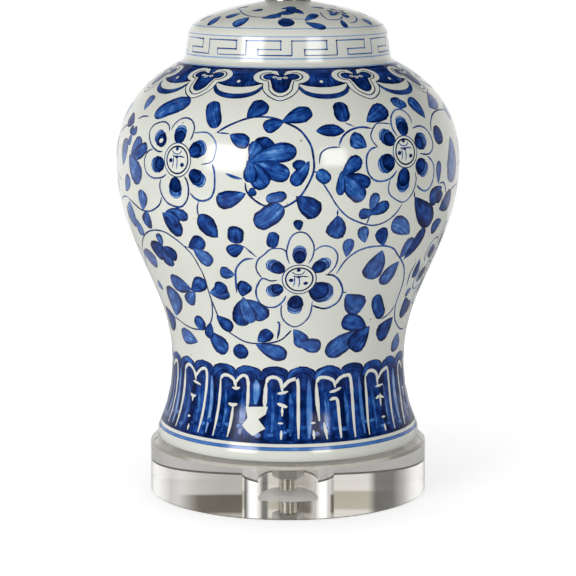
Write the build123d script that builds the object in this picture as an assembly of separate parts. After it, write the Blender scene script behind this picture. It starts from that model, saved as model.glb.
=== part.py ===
# A ceramic table lamp: a glazed jar on a clear round base, with neck, lampholder, harp, shade and finial.
# Millimetres, +Z up, origin on the table under the middle of the base. The front of the lamp is towards -Y.
import os

from build123d import *

# Clear base, a cast disc bored from below
BASE_DIAMETER = 203.2
BASE_THICKNESS = 38.1
BASE_BEVEL = 2.0
BASE_BOTTOM_BREAK = 0.8
BASE_BORE_DIAMETER = 45.4
BASE_BORE_DEPTH = 24.0

# Lamp pipe that clamps base, jar and neck together
ROD_DIAMETER = 13.4
ROD_BORE = 9.4
ROD_END_ABOVE_TABLE = 3.0
ROD_CLEARANCE = 0.4
THREAD_CLEARANCE = 0.05

# Nut and washers under the ceiling of the base's bore
WASHER_DIAMETER = 38.0
WASHER_THICKNESS = 2.0
LOCK_WASHER_DIAMETER = 24.0
LOCK_WASHER_THICKNESS = 1.6
LOCK_WASHER_SPLIT = 2.5
BASE_NUT_ACROSS_FLATS = 20.6
BASE_NUT_HEIGHT = 7.0
NUT_CHAMFER = 0.8

# Jar: radii, and the heights of its zones from the foot upwards
FOOT_GASKET_THICKNESS = 0.8
FOOT_RADIUS = 96.6
FOOT_ROUNDING = 5.6
FOOT_HEIGHT = 4.5
FOOT_RING_WIDTH = 18.0
FOOT_RECESS = 5.0
FOOT_GASKET_MARGIN = 2.0
WAIST_RADIUS = 85.3
WAIST_RISE = 53.5
BELLY_RADIUS = 124.6
BELLY_RISE = 147.0
SHOULDER_RISE = 70.6
COLLAR_RADIUS = 74.3
COLLAR_FLARE_WIDTH = 5.6
COLLAR_FLARE_HEIGHT = 4.0
COLLAR_TAPER = 2.3
COLLAR_HEIGHT = 16.7
DOME_HEIGHT = 23.5
DOME_LAND_RADIUS = 17.0
JAR_WALL = 7.0
JAR_FLOOR = 7.0
JAR_TOP_HOLE = 20.0

# How far each curve of the jar's outline keeps its direction before it bends
FOOT_HANDLE = 8.0
WAIST_HANDLE_DOWN = 34.0
WAIST_HANDLE_UP = 58.0
BELLY_HANDLE_DOWN = 62.0
BELLY_HANDLE_UP = 35.0
SHOULDER_HANDLE_OUT = 26.7
SHOULDER_HANDLE_DOWN = 14.2
DOME_HANDLE_UP = 12.2
DOME_HANDLE_OUT = 24.7
DOME_HANDLE_DOWN = 4.0

# Cord outlet, low on the back of the jar, as a share of the way from foot to waist
CORD_OUTLET_SHARE = 0.5
CORD_HOLE_DIAMETER = 11.0
CORD_BORE = 7.0
BUSHING_FLANGE_DIAMETER = 16.0
BUSHING_FLANGE_HEIGHT = 2.5
BUSHING_TAIL = 3.0
BUSHING_CLEARANCE = 0.1

# Neck tube on the dome, its check ring and its cap
NECK_DIAMETER = 33.5
NECK_WALL = 1.2
NECK_HEIGHT = 52.0
NECK_GASKET_THICKNESS = 0.8
NECK_GASKET_MARGIN = 0.6
NECK_RING_HEIGHT = 5.0
NECK_CAP_OVERHANG = 1.5
NECK_CAP_FLANGE = 4.0
NECK_CAP_WEB = 2.0
ROD_ENGAGEMENT = 9.0
NIPPLE_ENGAGEMENT = 7.0
SLIP_CLEARANCE = 0.1

# Nipple from the cap to the lampholder
NIPPLE_DIAMETER = 9.9
NIPPLE_BORE = 7.0

# Lampholder casing
HUB_DIAMETER = 15.0
HUB_HEIGHT = 8.0
CUP_DIAMETER = 36.0
CUP_WALL = 0.8
CUP_FLOOR = 1.2
CUP_CORNER = 3.0
CUP_HEIGHT = 16.0
SHELL_WALL = 0.6
SHELL_SEAT = 4.0
SHELL_LIP = 1.5
LINER_WALL = 0.6
LINER_SETBACK = 1.0
SET_SCREW_DIAMETER = 3.0
SET_SCREW_PROUD = 1.5

# Lampholder's working parts
SOCKET_BODY_DIAMETER = 28.0
SOCKET_BODY_HEIGHT = 26.0
SCREW_SHELL_BORE = 26.4
SCREW_SHELL_WALL = 0.5
SCREW_SHELL_HEIGHT = 24.0
CONTACT_DIAMETER = 8.0
CONTACT_HEIGHT = 1.5
CONTACT_WELL_DIAMETER = 22.0
CONTACT_WELL_DEPTH = 2.0
TERMINAL_FLAT_DEPTH = 2.0
TERMINAL_HEIGHT = 12.0
TERMINAL_HEAD_DIAMETER = 6.0
TERMINAL_HEAD_HEIGHT = 1.8
TERMINAL_SHANK_DIAMETER = 3.2
TERMINAL_SHANK_LENGTH = 5.0

# Turn switch, on the front of the lampholder
SWITCH_HEIGHT = 18.0
SPINDLE_DIAMETER = 4.0
SPINDLE_ENGAGEMENT = 8.0
SPINDLE_CLEARANCE = 0.05
SPINDLE_WINDOW_MARGIN = 0.8
KNOB_DIAMETER = 13.0
KNOB_LENGTH = 14.0
KNOB_HOLE_DEPTH = 9.0
KNOB_GAP = 2.0
KNOB_FLUTES = 18
KNOB_FLUTE_DIAMETER = 1.2
KNOB_END_FILLET = 1.2

# Harp saddle, harp and locking sleeves
SADDLE_THICKNESS = 1.6
SADDLE_WIDTH = 16.0
SADDLE_ARM_WIDTH = 4.0
SADDLE_ARM_HEIGHT = 26.0
SADDLE_CUP_GAP = 5.2
SADDLE_NUT_ACROSS_FLATS = 14.3
SADDLE_NUT_HEIGHT = 4.0
HARP_WIRE_DIAMETER = 3.4
HARP_SADDLE_GAP = 0.05
HARP_HEIGHT = 257.0
HARP_HALF_WIDTH = 54.0
HARP_TOP_HALF_WIDTH = 30.0
HARP_LEG_START = 8.0
HARP_LEG_END = 58.0
HARP_SPREAD_HEIGHT = 47.0
HARP_TOP_DROP = 67.0
HARP_SIDE_BEND = 40.0
HARP_TOP_BEND = 22.0
SLEEVE_BORE = 7.0
SLEEVE_WALL = 1.0
SLEEVE_HEIGHT = 16.0
STUD_BASE_DIAMETER = 10.0
STUD_BASE_COVER = 1.6
STUD_DIAMETER = 6.2
STUD_LENGTH = 15.0
STUD_CLEARANCE = 0.06
TURNING_GAP = 0.1

# Shade on a three-armed spider
SHADE_BOTTOM_DIAMETER = 406.0
SHADE_TOP_DIAMETER = 356.0
SHADE_HEIGHT = 280.0
SHADE_WALL = 1.2
SHADE_RECESS = 12.0
SHADE_WIRE_DIAMETER = 4.0
SHADE_WIRE_INSET = 4.0
SHADE_FIT_GAP = 0.1
SPIDER_ARMS = 3
SPIDER_ARM_DIAMETER = 3.4
SPIDER_HUB_DIAMETER = 28.0
SPIDER_HUB_THICKNESS = 2.0
WELD_GAP = 0.05
TRIM_HEIGHT = 10.0
TRIM_THICKNESS = 0.6
TRIM_GAP = 0.12

# Finial
FINIAL_FLANGE_DIAMETER = 18.0
FINIAL_FLANGE_HEIGHT = 3.0
FINIAL_NECK_DIAMETER = 10.0
FINIAL_BALL_DIAMETER = 22.0
FINIAL_BORE_SPARE = 1.5

# Heights of the stack, worked out from the sizes above
bore_ceiling = BASE_BORE_DEPTH
washer_bottom = bore_ceiling - WASHER_THICKNESS
lock_washer_bottom = washer_bottom - LOCK_WASHER_THICKNESS
base_nut_bottom = lock_washer_bottom - BASE_NUT_HEIGHT
jar_bottom = BASE_THICKNESS + FOOT_GASKET_THICKNESS
waist_height = FOOT_HEIGHT + WAIST_RISE
belly_height = waist_height + BELLY_RISE
shoulder_height = belly_height + SHOULDER_RISE
collar_bottom = shoulder_height + COLLAR_FLARE_HEIGHT
collar_top = collar_bottom + COLLAR_HEIGHT
jar_height = collar_top + DOME_HEIGHT
jar_top = jar_bottom + jar_height
neck_bottom = jar_top + NECK_GASKET_THICKNESS
neck_top = neck_bottom + NECK_HEIGHT
saddle_bottom = neck_top + NECK_CAP_FLANGE
spigot_length = ROD_ENGAGEMENT + NECK_CAP_WEB + NIPPLE_ENGAGEMENT - NECK_CAP_FLANGE
rod_top = neck_top - spigot_length + ROD_ENGAGEMENT
nipple_bottom = saddle_bottom - NIPPLE_ENGAGEMENT
saddle_top = saddle_bottom + SADDLE_THICKNESS
hub_bottom = saddle_top + SADDLE_NUT_HEIGHT
cup_bottom = hub_bottom + HUB_HEIGHT
socket_body_bottom = cup_bottom + CUP_FLOOR
socket_body_top = socket_body_bottom + SOCKET_BODY_HEIGHT
contact_bottom = socket_body_top - CONTACT_WELL_DEPTH
screw_shell_top = socket_body_top + SCREW_SHELL_HEIGHT
shell_bottom = cup_bottom + SHELL_SEAT
shell_top = screw_shell_top + SHELL_LIP
switch_axis = socket_body_bottom + SWITCH_HEIGHT
terminal_axis = socket_body_bottom + TERMINAL_HEIGHT
harp_top = saddle_bottom + HARP_HEIGHT
stud_base_top = harp_top + HARP_WIRE_DIAMETER / 2 + STUD_BASE_COVER
spider_bottom = stud_base_top + TURNING_GAP
spider_top = spider_bottom + SPIDER_HUB_THICKNESS
finial_bottom = spider_top + TURNING_GAP
stud_top = stud_base_top + STUD_LENGTH
shade_top = spider_bottom + SHADE_RECESS
shade_bottom = shade_top - SHADE_HEIGHT

# Radii that several pieces share
rod_radius = ROD_DIAMETER / 2
rod_hole_radius = rod_radius + ROD_CLEARANCE
nut_bore_radius = rod_radius + THREAD_CLEARANCE
nipple_radius = NIPPLE_DIAMETER / 2
nipple_hole_radius = nipple_radius + THREAD_CLEARANCE
neck_inner_radius = NECK_DIAMETER / 2 - NECK_WALL
cup_radius = CUP_DIAMETER / 2
cup_inner_radius = cup_radius - CUP_WALL
shell_radius = cup_inner_radius - SLIP_CLEARANCE
shell_inner_radius = shell_radius - SHELL_WALL
liner_radius = shell_inner_radius - SLIP_CLEARANCE
socket_body_radius = SOCKET_BODY_DIAMETER / 2
spindle_radius = SPINDLE_DIAMETER / 2
spindle_window_radius = spindle_radius + SPINDLE_WINDOW_MARGIN
saddle_arm_inner = cup_radius + SADDLE_CUP_GAP
saddle_arm_outer = saddle_arm_inner + SADDLE_THICKNESS
harp_wire_radius = HARP_WIRE_DIAMETER / 2
harp_leg_x = saddle_arm_outer + HARP_SADDLE_GAP + harp_wire_radius
sleeve_x = (saddle_arm_inner + harp_leg_x + harp_wire_radius) / 2
stud_radius = STUD_DIAMETER / 2

ON_END = (Align.CENTER, Align.CENTER, Align.MIN)


# Shapes that many pieces are made of
def post(radius, bottom, height):
    return Pos(0, 0, bottom) * Cylinder(radius, height, align=ON_END)


def ring(outer_radius, inner_radius, bottom, height):
    return post(outer_radius, bottom, height) - post(inner_radius, bottom, height)


def hex_nut(across_flats, bore_radius, bottom, height):
    outline = RegularPolygon(across_flats / 2, 6, major_radius=False)
    blank = Pos(0, 0, bottom) * extrude(outline, amount=height)
    ends = blank.edges().filter_by(GeomType.LINE).filter_by(Plane.XY)
    return chamfer(ends, NUT_CHAMFER) - post(bore_radius, bottom, height)


def towards_front(radius, start_y, length, height):
    return Pos(0, start_y, height) * Rot(90, 0, 0) * Cylinder(radius, length, align=ON_END)


def towards_back(radius, start_y, length, height):
    return Pos(0, start_y, height) * Rot(-90, 0, 0) * Cylinder(radius, length, align=ON_END)


def towards_right(radius, start_x, length, height):
    return Pos(start_x, 0, height) * Rot(0, 90, 0) * Cylinder(radius, length, align=ON_END)


def turned(points):
    corners = [Vector(radius, 0, height) for radius, height in points]
    outline = Polyline(*corners, close=True)
    return revolve(make_face(outline.edges()), Axis.Z)


# Outline of the jar, from its widest point at the foot up to the land under the neck.
# inset shrinks every radius and lowers the dome, start_height is where the side begins.
def jar_side(inset, start_height):
    def curve(*points):
        return Bezier(*[Vector(radius - inset, 0, jar_bottom + height) for radius, height in points])

    shoulder_radius = COLLAR_RADIUS + COLLAR_FLARE_WIDTH
    collar_top_radius = COLLAR_RADIUS - COLLAR_TAPER
    flare_rise = COLLAR_FLARE_WIDTH * SHOULDER_HANDLE_DOWN / SHOULDER_HANDLE_OUT
    land = DOME_LAND_RADIUS + inset
    land_height = jar_height - inset
    return [
        curve(
            (FOOT_RADIUS, start_height),
            (FOOT_RADIUS, start_height + FOOT_HANDLE),
            (WAIST_RADIUS, waist_height - WAIST_HANDLE_DOWN),
            (WAIST_RADIUS, waist_height),
        ),
        curve(
            (WAIST_RADIUS, waist_height),
            (WAIST_RADIUS, waist_height + WAIST_HANDLE_UP),
            (BELLY_RADIUS, belly_height - BELLY_HANDLE_DOWN),
            (BELLY_RADIUS, belly_height),
        ),
        curve(
            (BELLY_RADIUS, belly_height),
            (BELLY_RADIUS, belly_height + BELLY_HANDLE_UP),
            (shoulder_radius + SHOULDER_HANDLE_OUT, shoulder_height - SHOULDER_HANDLE_DOWN),
            (shoulder_radius, shoulder_height),
        ),
        curve(
            (shoulder_radius, shoulder_height),
            (COLLAR_RADIUS, shoulder_height + flare_rise),
            (COLLAR_RADIUS, collar_bottom),
        ),
        curve(
            (COLLAR_RADIUS, collar_bottom),
            (collar_top_radius, collar_top),
        ),
        curve(
            (collar_top_radius, collar_top),
            (collar_top_radius, collar_top + DOME_HANDLE_UP),
            (land + DOME_HANDLE_OUT, land_height - DOME_HANDLE_DOWN),
            (land, land_height),
        ),
    ]


# Solid inside that outline, closed by a flat bottom at start_height, or by the foot's rounded edge
def jar_solid(inset, start_height, rounded_foot):
    side = jar_side(inset, start_height)
    first = side[0] @ 0
    last = side[-1] @ 1
    edges = list(side)
    if rounded_foot:
        contact = Vector(FOOT_RADIUS - FOOT_ROUNDING - inset, 0, jar_bottom)
        corner = Vector(first.X, 0, jar_bottom)
        edges.append(Bezier(contact, corner, first))
        first = contact
    bottom = Vector(0, 0, first.Z)
    top = Vector(0, 0, last.Z)
    edges += [Line(bottom, first), Line(last, top), Line(top, bottom)]
    return revolve(make_face(edges), Axis.Z)


# Base: clear disc, polished bevel above, small break below, bored from below for the nut
def acrylic_base():
    radius = BASE_DIAMETER / 2
    disc = turned([
        (0, 0),
        (radius - BASE_BOTTOM_BREAK, 0),
        (radius, BASE_BOTTOM_BREAK),
        (radius, BASE_THICKNESS - BASE_BEVEL),
        (radius - BASE_BEVEL, BASE_THICKNESS),
        (0, BASE_THICKNESS),
    ])
    bore = post(BASE_BORE_DIAMETER / 2, 0, BASE_BORE_DEPTH)
    return disc - bore - post(rod_hole_radius, 0, BASE_THICKNESS)


# Hardware in the bore, from the ceiling down
def base_washer():
    return ring(WASHER_DIAMETER / 2, rod_hole_radius, washer_bottom, WASHER_THICKNESS)


def base_lock_washer():
    washer = ring(LOCK_WASHER_DIAMETER / 2, rod_hole_radius, lock_washer_bottom, LOCK_WASHER_THICKNESS)
    reach = LOCK_WASHER_DIAMETER / 2
    slot = Box(reach, LOCK_WASHER_SPLIT, LOCK_WASHER_THICKNESS, align=(Align.MIN, Align.CENTER, Align.MIN))
    return washer - Pos(0, 0, lock_washer_bottom) * slot


def base_nut():
    return hex_nut(BASE_NUT_ACROSS_FLATS, nut_bore_radius, base_nut_bottom, BASE_NUT_HEIGHT)


# Lamp pipe, from just above the table into the neck's cap
def threaded_rod():
    return ring(rod_radius, ROD_BORE / 2, ROD_END_ABOVE_TABLE, rod_top - ROD_END_ABOVE_TABLE)


# Ring under the foot, set back from the foot's rounded edge
def foot_gasket():
    outer = FOOT_RADIUS - FOOT_ROUNDING - FOOT_GASKET_MARGIN
    inner = FOOT_RADIUS - FOOT_ROUNDING - FOOT_RING_WIDTH + FOOT_GASKET_MARGIN
    return ring(outer, inner, BASE_THICKNESS, FOOT_GASKET_THICKNESS)


# Point on the jar's back where the cord hole's axis meets the glaze: its distance from the axis and its height
def cord_outlet():
    point = jar_side(0, FOOT_HEIGHT)[0] @ CORD_OUTLET_SHARE
    return point.X, point.Z


# Jar: one hollow casting on a foot ring, with holes for the rod and the cord
def ceramic_jar():
    floor_top = FOOT_RECESS + JAR_FLOOR
    outside = jar_solid(0, FOOT_HEIGHT, True)
    inside = jar_solid(JAR_WALL, floor_top, False)
    recess_radius = FOOT_RADIUS - FOOT_ROUNDING - FOOT_RING_WIDTH
    recess = post(recess_radius, jar_bottom, FOOT_RECESS)
    floor_hole = post(rod_hole_radius, jar_bottom, floor_top)
    top_hole = post(JAR_TOP_HOLE / 2, jar_top - JAR_WALL, JAR_WALL)
    outlet_radius, outlet_height = cord_outlet()
    cord_hole = towards_back(CORD_HOLE_DIAMETER / 2, 0, BELLY_RADIUS, outlet_height)
    return outside - inside - recess - floor_hole - top_hole - cord_hole


# Bushing in the cord hole; its flange follows the round of the glaze
def cord_bushing():
    outlet_radius, outlet_height = cord_outlet()
    barrel_start = outlet_radius - JAR_WALL - BUSHING_TAIL
    flange_end = outlet_radius + BUSHING_FLANGE_HEIGHT
    barrel_radius = CORD_HOLE_DIAMETER / 2 - BUSHING_CLEARANCE
    barrel = towards_back(barrel_radius, barrel_start, flange_end - barrel_start, outlet_height)
    flange_start = outlet_radius - JAR_WALL / 2
    flange = towards_back(BUSHING_FLANGE_DIAMETER / 2, flange_start, flange_end - flange_start, outlet_height)
    flange -= jar_solid(-BUSHING_CLEARANCE, FOOT_HEIGHT, True)
    bore = towards_back(CORD_BORE / 2, barrel_start, flange_end - barrel_start, outlet_height)
    return barrel + flange - bore


# Neck: gasket on the dome, check ring round the rod, tube, and the tapped cap that clamps the stack
def neck_gasket():
    outer = NECK_DIAMETER / 2 - NECK_GASKET_MARGIN
    return ring(outer, JAR_TOP_HOLE / 2, jar_top, NECK_GASKET_THICKNESS)


def neck_ring():
    return ring(neck_inner_radius - SLIP_CLEARANCE, rod_hole_radius, neck_bottom, NECK_RING_HEIGHT)


def neck():
    return ring(NECK_DIAMETER / 2, neck_inner_radius, neck_bottom, NECK_HEIGHT)


def neck_cap():
    flange = post(NECK_DIAMETER / 2 + NECK_CAP_OVERHANG, neck_top, NECK_CAP_FLANGE)
    spigot = post(neck_inner_radius - SLIP_CLEARANCE, neck_top - spigot_length, spigot_length)
    rod_thread = post(nut_bore_radius, neck_top - spigot_length, ROD_ENGAGEMENT)
    passage = post(NIPPLE_BORE / 2, rod_top, NECK_CAP_WEB)
    nipple_thread = post(nipple_hole_radius, nipple_bottom, NIPPLE_ENGAGEMENT)
    return flange + spigot - rod_thread - passage - nipple_thread


def socket_nipple():
    return ring(nipple_radius, NIPPLE_BORE / 2, nipple_bottom, cup_bottom - nipple_bottom)


# Harp saddle: a strap across the cap, turned up at both ends, held by a lock nut
def harp_saddle():
    strap = Pos(0, 0, saddle_bottom) * Box(2 * saddle_arm_outer, SADDLE_WIDTH, SADDLE_THICKNESS, align=ON_END)
    arm = Box(SADDLE_THICKNESS, SADDLE_ARM_WIDTH, SADDLE_ARM_HEIGHT, align=ON_END)
    arm_x = (saddle_arm_inner + saddle_arm_outer) / 2
    for x in (-arm_x, arm_x):
        strap += Pos(x, 0, saddle_bottom) * arm
    return strap - post(nipple_hole_radius, saddle_bottom, SADDLE_THICKNESS)


def saddle_nut():
    return hex_nut(SADDLE_NUT_ACROSS_FLATS, nipple_hole_radius, saddle_top, SADDLE_NUT_HEIGHT)


# Lampholder casing: cap with threaded hub, outer shell and insulating liner
def socket_cap():
    cup_top = cup_bottom + CUP_HEIGHT
    flat_radius = cup_radius - CUP_CORNER
    cup = turned([
        (nipple_hole_radius, hub_bottom),
        (HUB_DIAMETER / 2, hub_bottom),
        (HUB_DIAMETER / 2, cup_bottom),
        (flat_radius, cup_bottom),
        (cup_radius, cup_bottom + CUP_CORNER),
        (cup_radius, cup_top),
        (cup_inner_radius, cup_top),
        (cup_inner_radius, cup_bottom + CUP_CORNER),
        (flat_radius, socket_body_bottom),
        (nipple_hole_radius, socket_body_bottom),
    ])
    screw_hole_radius = SET_SCREW_DIAMETER / 2 + THREAD_CLEARANCE
    return cup - towards_back(screw_hole_radius, 0, HUB_DIAMETER, hub_bottom + HUB_HEIGHT / 2)


def cap_set_screw():
    length = HUB_DIAMETER / 2 + SET_SCREW_PROUD - nipple_hole_radius
    return towards_back(SET_SCREW_DIAMETER / 2, nipple_hole_radius, length, hub_bottom + HUB_HEIGHT / 2)


def spindle_window():
    return towards_front(spindle_window_radius, 0, CUP_DIAMETER, switch_axis)


def socket_shell():
    return ring(shell_radius, shell_inner_radius, shell_bottom, shell_top - shell_bottom) - spindle_window()


def socket_liner():
    top = shell_top - LINER_SETBACK
    return ring(liner_radius, liner_radius - LINER_WALL, shell_bottom, top - shell_bottom) - spindle_window()


# Lampholder's insulating body: flats for the terminal screws, a bearing for the switch, a well for the contact
def socket_body():
    body = post(socket_body_radius, socket_body_bottom, SOCKET_BODY_HEIGHT)
    body -= post(CONTACT_WELL_DIAMETER / 2, contact_bottom, CONTACT_WELL_DEPTH)
    flat_x = socket_body_radius - TERMINAL_FLAT_DEPTH
    flat_height = TERMINAL_HEIGHT + TERMINAL_HEAD_DIAMETER
    flat = Box(TERMINAL_FLAT_DEPTH, SOCKET_BODY_DIAMETER, flat_height, align=(Align.MIN, Align.CENTER, Align.MIN))
    screw_hole = TERMINAL_SHANK_DIAMETER / 2 + THREAD_CLEARANCE
    for turn in (0, 180):
        body -= Rot(0, 0, turn) * Pos(flat_x, 0, socket_body_bottom) * flat
        hole_start = flat_x - TERMINAL_SHANK_LENGTH
        body -= Rot(0, 0, turn) * towards_right(screw_hole, hole_start, TERMINAL_SHANK_LENGTH, terminal_axis)
    bearing_start = SPINDLE_ENGAGEMENT - socket_body_radius
    return body - towards_front(spindle_radius + SPINDLE_CLEARANCE, bearing_start, SPINDLE_ENGAGEMENT, switch_axis)


def terminal_screws():
    flat_x = socket_body_radius - TERMINAL_FLAT_DEPTH
    shank_start = flat_x - TERMINAL_SHANK_LENGTH
    screw = towards_right(TERMINAL_SHANK_DIAMETER / 2, shank_start, TERMINAL_SHANK_LENGTH, terminal_axis)
    screw += towards_right(TERMINAL_HEAD_DIAMETER / 2, flat_x, TERMINAL_HEAD_HEIGHT, terminal_axis)
    return Compound(children=[screw, Rot(0, 0, 180) * screw])


def screw_shell():
    bore_radius = SCREW_SHELL_BORE / 2
    return ring(bore_radius + SCREW_SHELL_WALL, bore_radius, socket_body_top, SCREW_SHELL_HEIGHT)


def centre_contact():
    return post(CONTACT_DIAMETER / 2, contact_bottom, CONTACT_HEIGHT)


# Turn switch: the spindle runs in the body, the knob sits on it clear of the cup
knob_back = -cup_radius - KNOB_GAP


def switch_spindle():
    start = SPINDLE_ENGAGEMENT - socket_body_radius - SPINDLE_CLEARANCE
    return towards_front(spindle_radius, start, start - knob_back + KNOB_HOLE_DEPTH, switch_axis)


def switch_knob():
    knob = towards_front(KNOB_DIAMETER / 2, knob_back, KNOB_LENGTH, switch_axis)
    front_rim = knob.faces().sort_by(Axis.Y)[0].edges()
    knob = fillet(front_rim, KNOB_END_FILLET)
    flute = Pos(KNOB_DIAMETER / 2, 0, 0) * Cylinder(KNOB_FLUTE_DIAMETER / 2, KNOB_LENGTH, align=ON_END)
    upright = Pos(0, knob_back, switch_axis) * Rot(90, 0, 0)
    for index in range(KNOB_FLUTES):
        knob -= upright * Rot(0, 0, 360 * index / KNOB_FLUTES) * flute
    return knob - towards_front(spindle_radius + SPINDLE_CLEARANCE, knob_back, KNOB_HOLE_DEPTH, switch_axis)


# Harp: one bent wire, with a stud at its top that is drilled across for the wire
def harp():
    leg_start = saddle_bottom + HARP_LEG_START
    leg_end = saddle_bottom + HARP_LEG_END
    right = [
        Vector(harp_leg_x, 0, leg_start),
        Vector(harp_leg_x, 0, leg_end),
        Vector(HARP_HALF_WIDTH, 0, leg_end + HARP_SPREAD_HEIGHT),
        Vector(HARP_HALF_WIDTH, 0, harp_top - HARP_TOP_DROP),
        Vector(HARP_TOP_HALF_WIDTH, 0, harp_top),
    ]
    left = [Vector(-point.X, 0, point.Z) for point in reversed(right)]
    bends = [HARP_SIDE_BEND, HARP_SIDE_BEND, HARP_SIDE_BEND, HARP_TOP_BEND]
    path = FilletPolyline(*right, *left, radius=bends + bends[::-1])
    section = Plane(path @ 0, z_dir=path % 0) * Circle(harp_wire_radius)
    return sweep(section, path=path)


def harp_stud():
    base_height = STUD_BASE_COVER + HARP_WIRE_DIAMETER + STUD_BASE_COVER
    stud = post(STUD_BASE_DIAMETER / 2, stud_base_top - base_height, base_height)
    stud += post(stud_radius, stud_base_top, STUD_LENGTH)
    wire_hole = harp_wire_radius + THREAD_CLEARANCE
    return stud - towards_right(wire_hole, -STUD_BASE_DIAMETER, 2 * STUD_BASE_DIAMETER, harp_top)


def harp_sleeve(side):
    bottom = saddle_bottom + SADDLE_ARM_HEIGHT - SLEEVE_HEIGHT
    outer = SLEEVE_BORE / 2 + SLEEVE_WALL
    return Pos(side * sleeve_x, 0, 0) * ring(outer, SLEEVE_BORE / 2, bottom, SLEEVE_HEIGHT)


# Shade: outer radius of the panel at a height, and a band that follows its slope
def shade_radius(height):
    share = (height - shade_bottom) / SHADE_HEIGHT
    return (SHADE_BOTTOM_DIAMETER + (SHADE_TOP_DIAMETER - SHADE_BOTTOM_DIAMETER) * share) / 2


def shade_band(bottom, top, inner_offset, outer_offset):
    return turned([
        (shade_radius(bottom) + inner_offset, bottom),
        (shade_radius(bottom) + outer_offset, bottom),
        (shade_radius(top) + outer_offset, top),
        (shade_radius(top) + inner_offset, top),
    ])


def shade_wire(height):
    inside = shade_radius(height) - SHADE_WALL - SHADE_FIT_GAP
    return Pos(0, 0, height) * Torus(inside - SHADE_WIRE_DIAMETER / 2, SHADE_WIRE_DIAMETER / 2)


def shade_panel():
    return shade_band(shade_bottom, shade_top, -SHADE_WALL, 0)


def shade_trim(bottom):
    return shade_band(bottom, bottom + TRIM_HEIGHT, TRIM_GAP, TRIM_GAP + TRIM_THICKNESS)


# Shade frame: a wire ring inside each edge of the panel, and a hub on three arms welded to the upper ring
def shade_top_ring():
    return shade_wire(shade_top - SHADE_WIRE_INSET)


def spider_hub():
    return ring(SPIDER_HUB_DIAMETER / 2, stud_radius + STUD_CLEARANCE, spider_bottom, SPIDER_HUB_THICKNESS)


def spider_arms():
    wire_height = shade_top - SHADE_WIRE_INSET
    wire_radius = SHADE_WIRE_DIAMETER / 2
    ring_radius = shade_radius(wire_height) - SHADE_WALL - SHADE_FIT_GAP - wire_radius
    inner_end = Vector(0, 0, spider_bottom + SPIDER_HUB_THICKNESS / 2)
    outer_end = Vector(ring_radius, 0, wire_height)
    run = outer_end - inner_end
    arm = Plane(inner_end, z_dir=run) * Cylinder(SPIDER_ARM_DIAMETER / 2, run.length, align=ON_END)
    arm -= post(SPIDER_HUB_DIAMETER / 2 + WELD_GAP, 0, shade_top)
    arm -= Pos(0, 0, wire_height) * Torus(ring_radius, wire_radius + WELD_GAP)
    return Compound(children=[Rot(0, 0, 90 + 360 * index / SPIDER_ARMS) * arm for index in range(SPIDER_ARMS)])


def shade_bottom_ring():
    return shade_wire(shade_bottom + SHADE_WIRE_INSET)


# Finial: flange, neck and ball in one turning, with a blind hole for the stud
def finial():
    bore_top = stud_top + FINIAL_BORE_SPARE
    ball_centre = bore_top
    knob = post(FINIAL_FLANGE_DIAMETER / 2, finial_bottom, FINIAL_FLANGE_HEIGHT)
    knob += post(FINIAL_NECK_DIAMETER / 2, finial_bottom, ball_centre - finial_bottom)
    knob += Pos(0, 0, ball_centre) * Sphere(FINIAL_BALL_DIAMETER / 2)
    return knob - post(stud_radius + STUD_CLEARANCE, finial_bottom, bore_top - finial_bottom)


PIECES = {
    "acrylic_base": acrylic_base(),
    "base_washer": base_washer(),
    "base_lock_washer": base_lock_washer(),
    "base_nut": base_nut(),
    "threaded_rod": threaded_rod(),
    "foot_gasket": foot_gasket(),
    "ceramic_jar": ceramic_jar(),
    "cord_bushing": cord_bushing(),
    "neck_gasket": neck_gasket(),
    "neck_ring": neck_ring(),
    "neck": neck(),
    "neck_cap": neck_cap(),
    "socket_nipple": socket_nipple(),
    "harp_saddle": harp_saddle(),
    "saddle_nut": saddle_nut(),
    "socket_cap": socket_cap(),
    "cap_set_screw": cap_set_screw(),
    "socket_shell": socket_shell(),
    "socket_liner": socket_liner(),
    "socket_body": socket_body(),
    "terminal_screws": terminal_screws(),
    "screw_shell": screw_shell(),
    "centre_contact": centre_contact(),
    "switch_spindle": switch_spindle(),
    "switch_knob": switch_knob(),
    "harp": harp(),
    "harp_stud": harp_stud(),
    "harp_sleeve_left": harp_sleeve(-1),
    "harp_sleeve_right": harp_sleeve(1),
    "spider_hub": spider_hub(),
    "spider_arms": spider_arms(),
    "shade_top_ring": shade_top_ring(),
    "shade_bottom_ring": shade_bottom_ring(),
    "shade_panel": shade_panel(),
    "shade_trim_top": shade_trim(shade_top - TRIM_HEIGHT),
    "shade_trim_bottom": shade_trim(shade_bottom),
    "finial": finial(),
}

os.makedirs("parts", exist_ok=True)
for node, piece in PIECES.items():
    export_step(piece, f"parts/{node}.step")
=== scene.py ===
# Looks of a ceramic table lamp: a blue-and-white jar on a clear disc, with neck, lampholder, harp and shade.
import math
import random

import bmesh
import bpy
import numpy as np
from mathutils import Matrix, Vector
from mathutils.geometry import delaunay_2d_cdt, interpolate_bezier


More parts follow.
